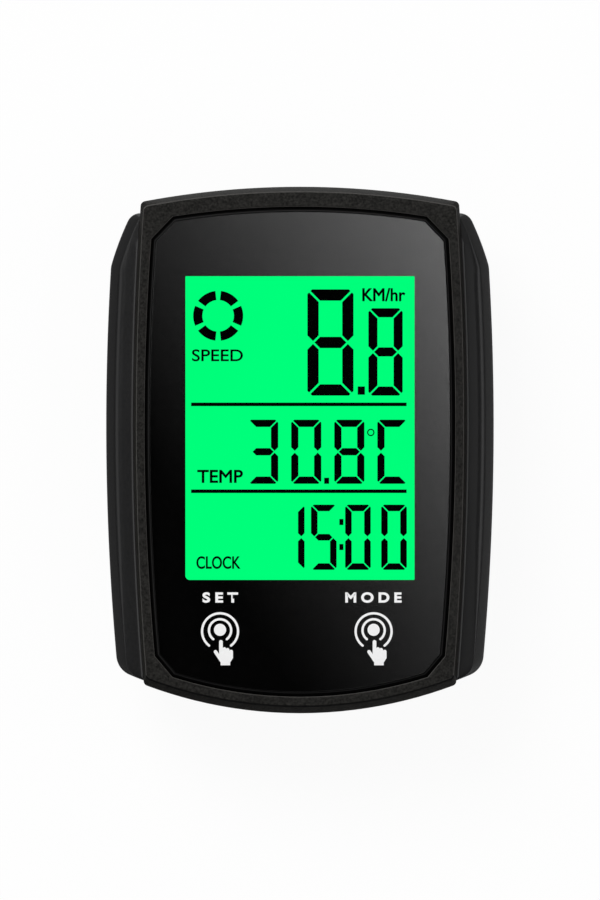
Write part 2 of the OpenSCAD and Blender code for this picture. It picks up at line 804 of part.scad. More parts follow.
grip_side_centre = [frame_w / 2 - side_r, widest_y];
grip_end_centre = [0, bottom_r - body_len / 2];
grip_in_x = frame_w / 2 - 4;
lean_out = [cos(grip_lean), sin(grip_lean)];
lean_up = [-sin(grip_lean), cos(grip_lean)];

function arc(centre, r, from, to, steps) =
    [for (i = [0:steps]) let (a = from + (to - from) * i / steps) centre + r * [cos(a), sin(a)]];

function turn_of(v) = atan2(v[1], v[0]);

// The lower of the two points where two circles meet
function lower_meeting(c1, r1, c2, r2) =
    let (gap = norm(c2 - c1), u = (c2 - c1) / gap, along = (r1 * r1 - r2 * r2 + gap * gap) / (2 * gap))
    c1 + along * u - sqrt(r1 * r1 - along * along) * [-u[1], u[0]];

// Outline of the right grip, drawn in by d: bottom curve, lower corner, bowed side and upper corner
function grip_outline(d) =
    let (side_arc_r = side_r + grip_w - d,
         end_arc_r = bottom_r - grip_bottom_in - d,
         low_r = max(grip_round_bottom - d, 0.3),
         high_r = max(grip_round_top - d, 0.3),
         low = lower_meeting(grip_side_centre, side_arc_r - low_r, grip_end_centre, end_arc_r - low_r),
         low_from = turn_of(low - grip_end_centre),
         low_to = turn_of(low - grip_side_centre),
         elbow_turn = asin((grip_elbow_y - widest_y) / (side_arc_r + d)),
         elbow = grip_side_centre + (side_arc_r + d) * [cos(elbow_turn), sin(elbow_turn)],
         lean_at = elbow * lean_out - d,
         lean_foot = lean_at - grip_side_centre * lean_out,
         bend_down = sqrt(pow(side_arc_r, 2) - pow(lean_foot, 2)),
         bend = grip_side_centre + lean_foot * lean_out - bend_down * lean_up,
         top_y = body_len / 2 - grip_top_in - d,
         high_y = top_y - high_r,
         high = [(lean_at - high_r - high_y * lean_out[1]) / lean_out[0], high_y])
    concat(arc(grip_end_centre, end_arc_r, -acos(grip_in_x / end_arc_r), low_from, 3),
           arc(low, low_r, low_from, low_to, 6),
           arc(grip_side_centre, side_arc_r, low_to, turn_of(bend - grip_side_centre), 12),
           arc(high, high_r, grip_lean, 90, 6),
           [[grip_in_x, top_y]]);

// The right grip before the shells are cut out of it, as outlines joined level by level
module grip_blank() {
    rings = [for (level = grip_levels) [for (p = grip_outline(level[1])) [p[0], p[1], level[0]]]];
    n = len(rings[0]);
    last = len(rings) - 1;
    at = function(i, k) i * n + k % n;
    walls = [for (i = [0:last - 1], k = [0:n - 1])
        each [[at(i, k), at(i + 1, k), at(i, k + 1)], [at(i, k + 1), at(i + 1, k), at(i + 1, k + 1)]]];
    ends = [for (k = [1:n - 2])
        each [[at(0, 0), at(0, k), at(0, k + 1)], [at(last, 0), at(last, k + 1), at(last, k)]]];
    polyhedron([for (ring = rings) each ring], concat(walls, ends));
}

module grip() {
    difference() {
        grip_blank();
        layer(z_part - eps, z_face, same(-touch_gap), same(-touch_gap));
        case_body(touch_gap);
    }
    intersection() {
        grip_ribs(0, z_part);
        block(0, grip_span, -body_len, body_len, 0, z_face);
    }
}

module left_grip() color(grip_black) mirror([1, 0, 0]) grip();

module right_grip() color(grip_black) grip();

// Coin cell, its contacts and its cover

cap_t = 0.35;
cap_in = 1.2;

module coin_cell() color("silver") {
    drum(cell_d / 2, z_cell, z_cell_top - cap_t);
    drum(cell_d / 2 - cap_in, z_cell_top - cap_t - eps, z_cell_top);
}

module strip(points, w)
    rotate([90, 0, 0]) linear_extrude(w, center = true) polygon(points);

module negative_contact() color("gold") {
    x = negative_leg_x;
    t = contact_t;
    low = z_cell_top + hole_gap;
    bend_x = 0.2 * x;
    touch_x = -0.72 * x;
    tip_x = -0.96 * x;
    strip([[x + t, z_board], [x, z_board], [x, z_ceiling], [bend_x, z_ceiling], [touch_x, low + t],
           [tip_x, low + 2 * t], [tip_x, low + t], [touch_x, low], [bend_x, z_ceiling - t],
           [x + t, z_ceiling - t]], contact_w);
}

module positive_contact() color("gold") {
    x = -positive_x;
    t = contact_t;
    touch = -cell_d / 2 - hole_gap;
    mid = z_cell + cell_t / 2;
    high = mid + 0.32 * cell_t;
    low = mid - 0.28 * cell_t;
    strip([[x, z_board], [x + t, z_board], [x + t, high], [touch, mid], [x + t, low], [x, low],
           [touch - t, mid], [x, high]], contact_w);
}

groove_z = cover_recess + flange_t / 2;
groove_r = flange_r - seal_d + slide_gap - 0.04;

module battery_cover() color(frame_black)
    difference() {
        union() {
            drum(flange_r, cover_recess, z_flange);
            drum(spigot_r, z_flange - eps, z_cover_top);
            at_lugs()
                ring_part(spigot_r - 0.5, lug_r, z_lug, z_cover_top - touch_gap, -lug_angle / 2, lug_angle);
        }
        drum(spigot_r - 1.4, z_flange + 0.5, z_cover_top + 1);
        translate([0, 0, cover_recess])
            cube([coin_slot_len, coin_slot_w, 2 * coin_slot_deep], center = true);
        rotate_extrude($fn = round_fn)
            translate([groove_r, groove_z - seal_d / 2 - hole_gap])
                square([seal_d, seal_d + 2 * hole_gap]);
    }

module cover_seal() color("firebrick")
    rotate_extrude($fn = round_fn)
        translate([groove_r + seal_d / 2 + hole_gap, groove_z]) circle(r = seal_d / 2, $fn = round_fn);

front_frame();
lens();
border_film();
lens_tape();
lcd_segments();
front_polariser();
front_glass();
rear_glass();
rear_polariser();
light_guide();
reflector();
backlight_tray();
backlight_leds();
zebra_strip();
circuit_board();
set_touch_spring();
mode_touch_spring();
controller();
clock_crystal();
receiver_core();
receiver_winding();
temperature_sensor();
chip_parts();
board_screws();
case_seal();
left_grip();
right_grip();
rear_case();
case_screws();
positive_contact();
negative_contact();
coin_cell();
battery_cover();
cover_seal();
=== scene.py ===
# %% [markdown]
# # A handlebar cycling computer
#
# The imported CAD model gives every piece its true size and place. This lesson puts the looks on it.
# The shells, lens, grips, cover and screws are modelled again with soft edges, the words and signs are
# added, and every piece gets a finish made of shader nodes. All lengths are in metres, in the CAD frame:
# X to the rider's right, Y up the screen, Z out of the face, and z = 0 on the rear of the foot.

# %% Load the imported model
import contextlib
import math

import bpy
import numpy as np
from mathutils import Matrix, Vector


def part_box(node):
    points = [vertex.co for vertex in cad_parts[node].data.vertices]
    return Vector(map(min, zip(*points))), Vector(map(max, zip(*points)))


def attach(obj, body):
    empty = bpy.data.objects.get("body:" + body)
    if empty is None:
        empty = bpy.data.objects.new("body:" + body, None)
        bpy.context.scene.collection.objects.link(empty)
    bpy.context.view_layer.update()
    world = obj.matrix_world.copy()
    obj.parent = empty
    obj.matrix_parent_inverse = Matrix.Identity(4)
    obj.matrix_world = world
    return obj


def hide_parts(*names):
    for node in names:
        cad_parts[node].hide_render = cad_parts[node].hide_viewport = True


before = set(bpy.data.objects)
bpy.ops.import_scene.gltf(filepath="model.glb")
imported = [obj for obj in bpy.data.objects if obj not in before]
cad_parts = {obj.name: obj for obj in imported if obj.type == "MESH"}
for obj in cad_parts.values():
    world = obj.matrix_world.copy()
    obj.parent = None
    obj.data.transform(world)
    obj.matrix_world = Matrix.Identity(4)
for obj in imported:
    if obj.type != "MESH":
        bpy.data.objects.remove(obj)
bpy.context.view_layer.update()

# %% [markdown]
# ## Sizes
#
# Levels and reaches are read from the CAD nodes' boxes, so they can't drift away from the model. The radii
# of the bowed edges and the widths of the small slopes don't show in a box, so they are written here once.

# %% Sizes
MM = 0.001

frame_low, frame_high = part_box("front_frame")
lens_low, lens_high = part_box("lens")
display_low, display_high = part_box("front_polariser")
grip_low, grip_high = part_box("right_grip")
cover_low, cover_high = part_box("battery_cover")
cell_low, cell_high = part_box("coin_cell")
screws_low, screws_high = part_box("case_screws")

half_width = frame_high.x
half_length = frame_high.y
z_part = frame_low.z
z_face = frame_high.z
z_deck = display_high.z
deck_gap = 0.2 * MM
z_deck_top = lens_low.z - deck_gap

flank_draw = 0.22 * MM
flank_x = half_width - flank_draw
flank_y = 3 * MM
flank_radius = 364 * MM
top_radius = 96 * MM
bottom_radius = 50 * MM
corner_round = 0.6 * MM
wall = 2 * MM
print("face", round(2 * half_width / MM, 2), "x", round(2 * half_length / MM, 2), "mm")

# %% [markdown]
# ## Outlines from a few edges
#
# Seen from the front, every big piece is bounded by long bowed edges with small rounded corners. Dozens of
# typed points would be hard to change. Here an outline is a list of edges, each a circle or a straight line,
# and a corner is found where two edges, moved in by the wanted inset, meet.

# %% Edges of an outline
def heading(degrees):
    """The flat direction that faces an angle."""
    turn = math.radians(degrees)
    return np.array([math.cos(turn), math.sin(turn)])


class Bow:
    """A round edge. A hollow one keeps what lies outside its circle."""

    def __init__(self, x, y, radius, hollow=False):
        self.centre = np.array([x, y])
        self.radius = radius
        self.sign = -1 if hollow else 1

    def out(self, point):
        arm = point - self.centre
        return self.sign * arm / np.linalg.norm(arm)

    def past(self, point):
        return self.sign * (np.linalg.norm(point - self.centre) - self.radius)


class Straight:
    """A straight edge through a point, facing an angle in degrees."""

    def __init__(self, x, y, facing):
        self.point = np.array([x, y])
        self.normal = heading(facing)

    def out(self, point):
        return self.normal

    def past(self, point):
        return float((point - self.point) @ self.normal)


sample = Bow(0, 0, 5 * MM).past(np.array([6 * MM, 0]))
print("6 mm from the middle is", round(sample / MM, 2), "mm past a bow of 5 mm")

# %% Corners and points of an outline
def meeting(a, b, inset_a, inset_b, guess):
    """The point that lies inset_a inside edge a and inset_b inside edge b, found in a few steps."""
    point = np.array(guess, float)
    for _ in range(20):
        slopes = np.array([a.out(point), b.out(point)])
        wrong = np.array([a.past(point) + inset_a, b.past(point) + inset_b])
        point = point - np.linalg.solve(slopes, wrong)
    return point


def corner_arc(centre, radius, start, end, steps):
    """Points of a rounded corner, from facing start towards facing end."""
    first = math.degrees(math.atan2(start[1], start[0]))
    turn = math.degrees(math.atan2(start[0] * end[1] - start[1] * end[0], start @ end))
    return [centre + radius * heading(first + turn * i / steps) for i in range(steps)]


def outline(edges, insets, rounds, edge_steps, round_steps, guesses):
    """Points round a closed outline. Corner i joins edge i to the next edge."""
    after = [*range(1, len(edges)), 0]
    centres = []
    for i, k in enumerate(after):
        deep = rounds[i]
        centres.append(meeting(edges[i], edges[k], insets[i] + deep, insets[k] + deep, guesses[i]))
    points = []
    for i, edge in enumerate(edges):
        first = centres[i - 1] + rounds[i - 1] * edge.out(centres[i - 1])
        last = centres[i] + rounds[i] * edge.out(centres[i])
        for step in range(edge_steps[i]):
            p = first + (last - first) * step / edge_steps[i]
            points.append(p - (edge.past(p) + insets[i]) * edge.out(p))
        turn_to = edges[after[i]].out(centres[i])
        points += corner_arc(centres[i], rounds[i], edge.out(centres[i]), turn_to, round_steps[i])
    return points


def lifted(points, z):
    """Flat points as a ring at one level."""
    return [(*p, z) for p in points]


sample = meeting(Straight(4 * MM, 0, 0), Straight(0, 3 * MM, 90), MM, MM, (0, 0))
print("edges at 4 and 3 mm, each moved in by 1 mm, meet at", np.round(sample / MM, 2))

# %% [markdown]
# ## The body's three outlines
#
# The frame has four bowed edges. The lens opening follows them further in and has four cut corners. The
# window behind the lens is a plain rectangle. All three get the same number of points, so that a skin can
# run from one to the next without a twist.

# %% Frame outline
EDGE_STEPS = 24
CORNER_STEPS = 9

right_side = Bow(flank_x - flank_radius, flank_y, flank_radius)
left_side = Bow(flank_radius - flank_x, flank_y, flank_radius)
top_end = Bow(0, half_length - top_radius, top_radius)
bottom_end = Bow(0, bottom_radius - half_length, bottom_radius)


def four_sided(edges, insets, rounds, x, top, bottom, z):
    """A ring of four edges, with its corners near x, top and bottom."""
    guesses = [(x, top), (-x, top), (-x, bottom), (x, bottom)]
    return lifted(outline(edges, insets, rounds, [EDGE_STEPS] * 4, [CORNER_STEPS] * 4, guesses), z)


def frame_ring(side, top, bottom, z, corner=corner_round):
    """The frame's outline, moved in at its sides, top and bottom."""
    edges = [right_side, top_end, left_side, bottom_end]
    insets = [side, top, side, bottom]
    return four_sided(edges, insets, [corner] * 4, half_width, half_length, -half_length, z)


print("frame outline:", len(frame_ring(0, 0, 0, z_part)), "points")

# %% Lens opening and window outlines
side_radius = 297 * MM
side_x = half_width - side_radius
side_y = 2.8 * MM
land_side = 1.53 * MM
land_top = 2.3 * MM
land_bottom = 1.9 * MM
cut_top = np.array([half_width - 3.47 * MM, half_length - 4.76 * MM])
cut_bottom = np.array([half_width - 3.6 * MM, 5.46 * MM - half_length])
CUT_TOP_FACING = 44
CUT_BOTTOM_FACING = -40
CUT_STEPS = CORNER_STEPS // 3
opening_corner = 0.15 * MM

MIRRORED = (-1, 1)
cuts = [cut_top, cut_top * MIRRORED, cut_bottom * MIRRORED, cut_bottom]
cut_facings = [CUT_TOP_FACING, 180 - CUT_TOP_FACING, 180 - CUT_BOTTOM_FACING, CUT_BOTTOM_FACING]
opening_bows = [Bow(side_x, side_y, side_radius), top_end, Bow(-side_x, side_y, side_radius), bottom_end]
opening_edges = []
opening_guesses = []
for bow, spot, facing in zip(opening_bows, cuts, cut_facings):
    opening_edges += [bow, Straight(*spot, facing)]
    opening_guesses += [spot, spot]


def opening_ring(inset, z):
    """The lens opening's outline, moved in all round."""
    insets = [land_side, 0, land_top, 0, land_side, 0, land_bottom, 0]
    points = outline(opening_edges, [a + inset for a in insets], [opening_corner] * 8,
                     [EDGE_STEPS, CUT_STEPS] * 4, [CUT_STEPS] * 8, opening_guesses)
    return lifted(points, z)


display_border = 0.9 * MM
view_right = display_high.x - display_border
view_top = display_high.y - display_border
view_bottom = display_low.y + display_border
view_corner = 0.1 * MM
round_view_corner = 0.5 * MM


def window_ring(margin, z):
    """The visible window's outline, moved out all round. Its lower left corner is the rounder one."""
    edges = [Straight(view_right, 0, 0), Straight(0, view_top, 90),
             Straight(-view_right, 0, 180), Straight(0, view_bottom, 270)]
    rounds = [view_corner, view_corner, round_view_corner, view_corner]
    return four_sided(edges, [-margin] * 4, rounds, view_right, view_top, view_bottom, z)


print("window", round(2 * view_right / MM, 1), "x", round((view_top - view_bottom) / MM, 1), "mm")

# %% [markdown]
# ## A skin over rings
#
# By hand, a bowed shell is made by laying a circle of points on the outline and extruding its edge ring by
# ring: up the wall, over the slope, across the face. The helper below does the same with the Extrude
# operator, and places each new ring on the outline it should follow. Soft edges are extra rings on a small
# curve.

# %% Add, select and edit
def added(operator, **settings):
    """Runs an operator that adds an object, with nothing else selected, and returns the object."""
    bpy.ops.object.select_all(action="DESELECT")
    operator(**settings)
    return bpy.context.active_object


@contextlib.contextmanager
def edit_mode():
    """Edit Mode for the active piece, and Object Mode again afterwards."""
    bpy.ops.object.mode_set(mode="EDIT")
    yield
    bpy.ops.object.mode_set(mode="OBJECT")


def only(piece):
    """Selects one piece and makes it active."""
    bpy.ops.object.select_all(action="DESELECT")
    piece.select_set(True)
    bpy.context.view_layer.objects.active = piece


def pick(piece, corners):
    """Selects only these corners of a piece's mesh."""
    for group in (piece.data.vertices, piece.data.edges, piece.data.polygons):
        group.foreach_set("select", [False] * len(group))
    for i in corners:
        piece.data.vertices[i].select = True


def lay(piece, corners, ring):
    """Moves these corners of a piece onto a ring of points."""
    for i, point in zip(corners, ring):
        piece.data.vertices[i].co = point


# %% Loft
SMOOTH_ANGLE = math.radians(30)
same_spot = 0.0002 * MM


def grown_from(piece, corners, start):
    """The new corner that was extruded out of each old one. New corners are numbered from start."""
    pairs = {}
    for edge in piece.data.edges:
        old, new = sorted(edge.vertices)
        if old < start <= new:
            pairs[old] = new
    return [pairs[i] for i in corners]


def clean(piece):
    """Merges doubles, turns the faces outwards and smooths all but the sharp edges."""
    only(piece)
    with edit_mode():
        bpy.ops.mesh.select_all(action="SELECT")
        bpy.ops.mesh.remove_doubles(threshold=same_spot)
        bpy.ops.mesh.normals_make_consistent(inside=False)
    bpy.ops.object.shade_smooth_by_angle(angle=SMOOTH_ANGLE)


def loft(name, rings, closed=False, ends=True):
    """Skins a row of rings. A closed one joins its last ring to its first, others may get flat ends."""
    piece = added(bpy.ops.mesh.primitive_circle_add, vertices=len(rings[0]), radius=MM)
    piece.name = piece.data.name = name
    first = last = list(range(len(rings[0])))
    lay(piece, first, rings[0])
    for ring in rings[1:] + rings[:1] * closed:
        start = len(piece.data.vertices)
        with edit_mode():
            bpy.ops.mesh.extrude_edges_move()
        last = grown_from(piece, last, start)
        lay(piece, last, ring)
    if ends and not closed:
        for end in (first, last):
            pick(piece, end)
            with edit_mode():
                bpy.ops.mesh.edge_face_add()
    clean(piece)
    return piece


def soften(path, steps=4):
    """Rounds the corners of a path. Each entry ends with how far back from its corner the curve starts."""
    spots = [np.array(entry[:-1], float) for entry in path]
    made = []
    for i, entry in enumerate(path):
        if entry[-1] == 0:
            made.append(spots[i])
            continue
        back = spots[i - 1] - spots[i]
        ahead = spots[i + 1] - spots[i]
        start = spots[i] + entry[-1] * back / np.linalg.norm(back)
        end = spots[i] + entry[-1] * ahead / np.linalg.norm(ahead)
        for t in np.linspace(0, 1, steps + 1):
            made.append((1 - t) ** 2 * start + 2 * t * (1 - t) * spots[i] + t ** 2 * end)
    return made


print("a softened corner has", len(soften([(0, 0, 0), (1, 0, 0.2), (1, 1, 0)])) - 2, "points")

# %% Join, cut and copy
def join(pieces, name=None):
    """Makes one piece of several. It keeps the first one's name unless it gets a new one."""
    bpy.ops.object.select_all(action="DESELECT")
    for piece in pieces:
        piece.select_set(True)
    whole = pieces[0]
    bpy.context.view_layer.objects.active = whole
    bpy.ops.object.join()
    whole.name = name or whole.name
    return whole


def cut(piece, cutter):
    """Takes the cutter's shape out of a piece and throws the cutter away."""
    only(piece)
    bpy.ops.object.modifier_add(type="BOOLEAN")
    modifier = piece.modifiers[-1]
    modifier.operation = "DIFFERENCE"
    modifier.solver = "EXACT"
    modifier.object = cutter
    bpy.ops.object.modifier_apply(modifier=modifier.name)
    bpy.data.meshes.remove(cutter.data)
    bpy.ops.object.shade_smooth_by_angle(angle=SMOOTH_ANGLE)


def copied(piece):
    """A copy with a mesh of its own, selected and active."""
    only(piece)
    bpy.ops.object.duplicate()
    return bpy.context.active_object


def apply_place():
    """Takes the selected piece's place, turn and size into its mesh."""
    bpy.ops.object.transform_apply(location=True, rotation=True, scale=True)


def spread(pattern, places, turns=None):
    """Copies a piece to flat places, or to turns about the upright axis. The pattern is thrown away."""
    made = []
    for i, (x, y) in enumerate(places):
        copy = copied(pattern)
        copy.location = (x, y, 0)
        copy.rotation_euler.z = math.radians(turns[i] if turns else 0)
        apply_place()
        made.append(copy)
    bpy.data.meshes.remove(pattern.data)
    return made


def spun(pattern, turns):
    """Copies a piece to turns about the upright axis, in degrees."""
    return spread(pattern, [(0, 0)] * len(turns), turns)


# %% [markdown]
# ## Shader maths
#
# A finish is a small network of nodes. Writing each link by hand hides the idea, so one class wraps a socket:
# sums on it add Math nodes, and its node method adds any other kind. A finish then reads like a formula.

# %% Sockets that can be added and multiplied
class Wire:
    """A socket in a material's nodes."""

    def __init__(self, tree, socket=None):
        self.tree = tree
        self.socket = socket

    def node(self, kind, settings=None, inputs=None, output=0):
        """Adds a node, sets it up first, then fills or links its sockets."""
        made = self.tree.nodes.new(kind)
        for name, value in (settings or {}).items():
            setattr(made, name, value)
        for name, value in (inputs or {}).items():
            if isinstance(value, Wire):
                self.tree.links.new(value.socket, made.inputs[name])
            else:
                made.inputs[name].default_value = value
        return Wire(self.tree, made.outputs[output] if made.outputs else None)

    def math(self, operation, *others):
        return self.node("ShaderNodeMath", {"operation": operation}, dict(enumerate((self, *others))))

    def __add__(self, other):
        return self.math("ADD", other)

    def __sub__(self, other):
        return self.math("SUBTRACT", other)

    def __rsub__(self, other):
        return self.node("ShaderNodeMath", {"operation": "SUBTRACT"}, {0: other, 1: self})

    def __mul__(self, other):
        return self.math("MULTIPLY", other)

    def __truediv__(self, other):
        return self.math("DIVIDE", other)

    def __pow__(self, other):
        return self.math("POWER", other)

    def __lt__(self, other):
        return self.math("LESS_THAN", other)

    def clip(self, low, high):
        return self.math("MAXIMUM", low).math("MINIMUM", high)

    __radd__ = __add__
    __rmul__ = __mul__


# %% Colours, places and patterns
def linear(value):
    """The light that a screen shows for a value from 0 to 1, for all but its darkest tones."""
    return ((value + 0.055) / 1.055) ** 2.4


def colour(red, green, blue):
    """A screen colour, from 0 to 255, in the linear light that shaders use."""
    parts = [c / 255 for c in (red, green, blue)]
    return tuple(c / 12.92 if c <= 0.04045 else linear(c) for c in parts) + (1,)


def place(wire, scale=(1, 1, 1)):
    """Object coordinates, stretched by a scale."""
    spot = wire.node("ShaderNodeTexCoord", output="Object")
    return wire.node("ShaderNodeMapping", {}, {"Vector": spot, "Scale": scale})


def axis(wire, name):
    """One of the three Object coordinates."""
    return wire.node("ShaderNodeSeparateXYZ", {}, {"Vector": place(wire)}, output=name)


def between(wire, low, high):
    """1 between two levels, and 0 elsewhere."""
    height = axis(wire, "Z")
    return (height < high) * (1 - (height < low))


def reach_from(wire, x=0.0, y=0.0):
    """The distance from an upright line."""
    ends = {0: place(wire, (1, 1, 0)), 1: (x, y, 0)}
    return wire.node("ShaderNodeVectorMath", {"operation": "DISTANCE"}, ends, output="Value")


def noise(wire, scale, detail=2, stretch=(1, 1, 1)):
    """A soft cloud pattern from 0 to 1. The scale is in clouds per metre."""
    inputs = {"Vector": place(wire, stretch), "Scale": scale, "Detail": detail}
    return wire.node("ShaderNodeTexNoise", {}, inputs)


def blend(amount, a, b):
    """Colour a where amount is 0, and colour b where it is 1. Each is a screen colour or a wire."""
    a, b = [c if isinstance(c, Wire) else colour(*c) for c in (a, b)]
    return amount.node("ShaderNodeMix", {"data_type": "RGBA"}, {"Factor": amount, 6: a, 7: b}, output=2)


def bump(height, deep):
    """Fine relief. The height runs from 0 to 1 and stands for so many metres."""
    return height.node("ShaderNodeBump", {}, {"Height": height, "Distance": deep, "Strength": 1})


print("middle grey in linear light:", round(colour(128, 128, 128)[0], 3))

# %% Finishes and their hand-over
def new_finish(name):
    """A new material with no nodes, and a wire to start from."""
    finish = bpy.data.materials.new(name)
    finish.use_nodes = True
    finish.node_tree.nodes.clear()
    return finish, Wire(finish.node_tree)


def use(finish, surface):
    """Makes a shader the finish's surface."""
    surface.node("ShaderNodeOutputMaterial", {}, {"Surface": surface})
    print("finish", finish.name, "with", len(finish.node_tree.nodes), "nodes")
    return finish


def mixed(amount, a, b):
    """Shader a where amount is 0, and shader b where it is 1."""
    return amount.node("ShaderNodeMixShader", {}, {0: amount, 1: a, 2: b})


def principled(wire, inputs):
    """The all-round shader for solid stuff."""
    return wire.node("ShaderNodeBsdfPrincipled", {}, inputs)


def dress(piece, finish):
    """Gives a piece one finish."""
    piece.data.materials.clear()
    piece.data.materials.append(finish)


def hand_over(piece, finish, body, slot, *nodes):
    """Dresses a piece, ties it to its CAD body and hides the CAD nodes it stands for. The slot is not used.
    """
    dress(piece, finish)
    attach(piece, body)
    if nodes:
        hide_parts(*nodes)
    print(piece.name, len(piece.data.polygons), "faces on", body)


# %% [markdown]
# ## Moulded plastic and rubber
#
# The shells are black plastic from a spark-eroded mould, so their face has a fine grain of about a tenth of a
# millimetre, a little warmer and lighter on its tips. The grips are softer and smoother. Both use one recipe:
# a fine cloud moves the colour, the gloss and the relief together, and a wide cloud keeps big areas alive.

# %% Plastic and rubber finishes
WIDE_GRAIN = 90
SHELL_GRAIN = 4200
SOFT_GRAIN = 3600
shell_relief = 0.02 * MM


def moulded(name, deep, tip, grain, relief, gloss, shine, retouch=None):
    """Moulded plastic or rubber: two tones, grain in clouds per metre, relief in metres, its roughness and
    its shine. A retouch, if given, changes the colour where a highlight or shade is painted on."""
    finish, wire = new_finish(name)
    fine = noise(wire, grain, detail=3)
    wide = noise(wire, WIDE_GRAIN)
    tone = blend((fine - 0.5) * 2 + wide * 0.3 + 0.35, deep, tip)
    if retouch:
        tone = retouch(tone)
    return use(finish, principled(wire, {
        "Base Color": tone, "Roughness": gloss + (fine - 0.5) * 0.16 + (wide - 0.5) * 0.06,
        "Specular IOR Level": shine, "Normal": bump(fine, relief)}))


case_plastic = moulded("case_plastic", (10, 10, 9), (44, 43, 41), SHELL_GRAIN, shell_relief, 0.42, 0.2)
cover_plastic = moulded("cover_plastic", (12, 12, 11), (48, 47, 45), SOFT_GRAIN, shell_relief, 0.4, 0.25)

# %% [markdown]
# ## Front frame
#
# The frame is one moulding: an upright wall, a sloping edge that is wider at the bottom than at the top, a
# flat face, and an opening with cut corners that drops to a deck behind the lens. One closed section is
# carried round it: up the outside, across the face, into the opening, under the deck and down the inside.
# The rims of its face and of its opening carry a painted highlight, a little paler than the grain. At the
# lower end, where the light doesn't fall, a thin dark line of painted shade parts the face from the slope.
# The deck behind the lens is painted black as shade.

# %% Plastic with painted highlights and painted shade
# colours of the frame's painted light: black for painted shade, and a pale tone for the rims' painted
# highlight
SHADE_BLACK = (1, 1, 1)
RIM_HIGHLIGHT = (112, 110, 107)
HIGHLIGHT_SHARE = 0.3
rim_top = z_face - 0.012 * MM
rim_low = z_face - 0.13 * MM
line_low = z_face - 0.26 * MM
lower_end = 1.1 * MM
# half the depth of the band of painted shade on the deck
deck_shade_half = 0.01 * MM


def frame_light_and_shade(tone):
    """A painted highlight on the rims of the face and of the opening, painted shade as a dark line on the
    lower end's rim, and painted shade in black on the deck.
    """
    inside = reach_from(tone, *bottom_end.centre) < bottom_radius - lower_end
    # painted highlight on the rims of the face and the opening, except at the lower end
    highlighted = blend(between(tone, rim_low, rim_top) * inside * HIGHLIGHT_SHARE, tone, RIM_HIGHLIGHT)
    # painted shade: a thin black line on the lower end's rim
    lower_shaded = blend(between(tone, line_low, rim_top) * (1 - inside), highlighted, SHADE_BLACK)
    # painted shade: the deck behind the lens is black
    return blend(between(tone, z_deck_top - deck_shade_half, z_deck_top + deck_shade_half), lower_shaded, SHADE_BLACK)


# the frame's plastic carries the painted highlights and the painted shade above
shell_plastic = moulded("shell_plastic", (5, 5, 4), (46, 45, 43), SHELL_GRAIN, shell_relief, 0.36, 0.12,
                        frame_light_and_shade)

# %% Front frame
skirt_rise = 1.6 * MM
skirt_side = 0.36 * MM
skirt_top = 0.6 * MM
skirt_bottom = 0.85 * MM
deck_margin = 0.4 * MM
lip = 0.12 * MM
inner_round = 1 * MM

outer_path = soften([
    (0, 0, 0, z_part, 0),
    (0, 0, 0, z_face - skirt_rise, 0.25 * MM),
    (skirt_side, skirt_top, skirt_bottom, z_face, 0.18 * MM),
    (skirt_side + lip, skirt_top + lip, skirt_bottom + lip, z_face, 0),
])
lip_path = soften([(-2 * lip, z_face, 0), (0, z_face, lip), (0, z_deck_top, 0)])
frame_rings = [frame_ring(*spot) for spot in outer_path]
frame_rings += [opening_ring(*spot) for spot in lip_path]
frame_rings += [window_ring(deck_margin, z) for z in (z_deck_top, z_deck)]
frame_rings += [frame_ring(wall, wall, wall, z, inner_round) for z in (z_deck, z_part)]
front_frame = loft("moulded_front_frame", frame_rings, closed=True)
print("frame skin:", len(frame_rings), "rings")

# %% [markdown]
# The screws hold in round posts under the deck. They never show, but without them the shell would be wrong
# on a bench. A post is a turned piece: its section runs up the outside, over the end and down the bore.

# %% Posts inside the front frame
def circle_ring(radius, z, steps=48):
    """A round ring about the upright axis."""
    return lifted([radius * heading(360 * i / steps) for i in range(steps)], z)


def turned(name, section, steps=96, closed=False):
    """A round solid from a section of radius and level. A closed section has a bore, others flat ends."""
    return loft(name, [circle_ring(r, z, steps) for r, z in section], closed)


def post(bore, radius, low, high):
    """A tube with a flat end at each level."""
    return turned("post", [(bore, low), (radius, low), (radius, high), (bore, high)], steps=48, closed=True)


screw_head_radius = 1.75 * MM
screw_x = screws_high.x - screw_head_radius
screw_high_y = screws_high.y - screw_head_radius
screw_low_y = screws_low.y + screw_head_radius
screw_places = [(x, y) for x in (-screw_x, screw_x) for y in (screw_low_y, screw_high_y)]
z_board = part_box("circuit_board")[1].z
board_head_radius = 1.5 * MM
board_screw_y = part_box("board_screws")[1].y - board_head_radius
boss_places = [(0, -board_screw_y), (0, board_screw_y)]

posts = spread(post(1.02 * MM, 2.2 * MM, z_part, z_deck), screw_places)
posts += spread(post(0.72 * MM, 1.9 * MM, z_board, z_deck), boss_places)
join([front_frame] + posts)
hand_over(front_frame, shell_plastic, "body", "shell_plastic", "front_frame")

# %% [markdown]
# ## Lens
#
# The lens is a flat clear plate with a bevelled edge, a hair below the frame's face. Its skin runs up the
# edge and over the bevel, with flat ends. A glass shader mirrors and bends every ray, and is grainy where its
# mirror image is faint. So the clear top only bends what the camera sees, which lifts the print behind it as
# real glass does, and lets light straight through. The smooth print behind it gives the mirror image instead.
# The edge is matt and near black, which is painted shade for the dark that a clear bevel would mirror, and a
# thin grey line along it is a painted highlight.

# %% Lens finish
GLASS_IOR = 1.49
WHITE = (1, 1, 1, 1)
HAZE_GRAIN = 160
# the band of the edge that is painted near black, as painted shade
dark_edge_band = (lens_low.z + 0.06 * MM, lens_high.z - 0.006 * MM)
# the band of the bevel that carries a thin grey painted highlight
highlight_line = (lens_high.z - 0.18 * MM, lens_high.z - 0.1 * MM)


def see_through(wire, tint=WHITE):
    """Lets light straight through."""
    return wire.node("ShaderNodeBsdfTransparent", {}, {"Color": tint})


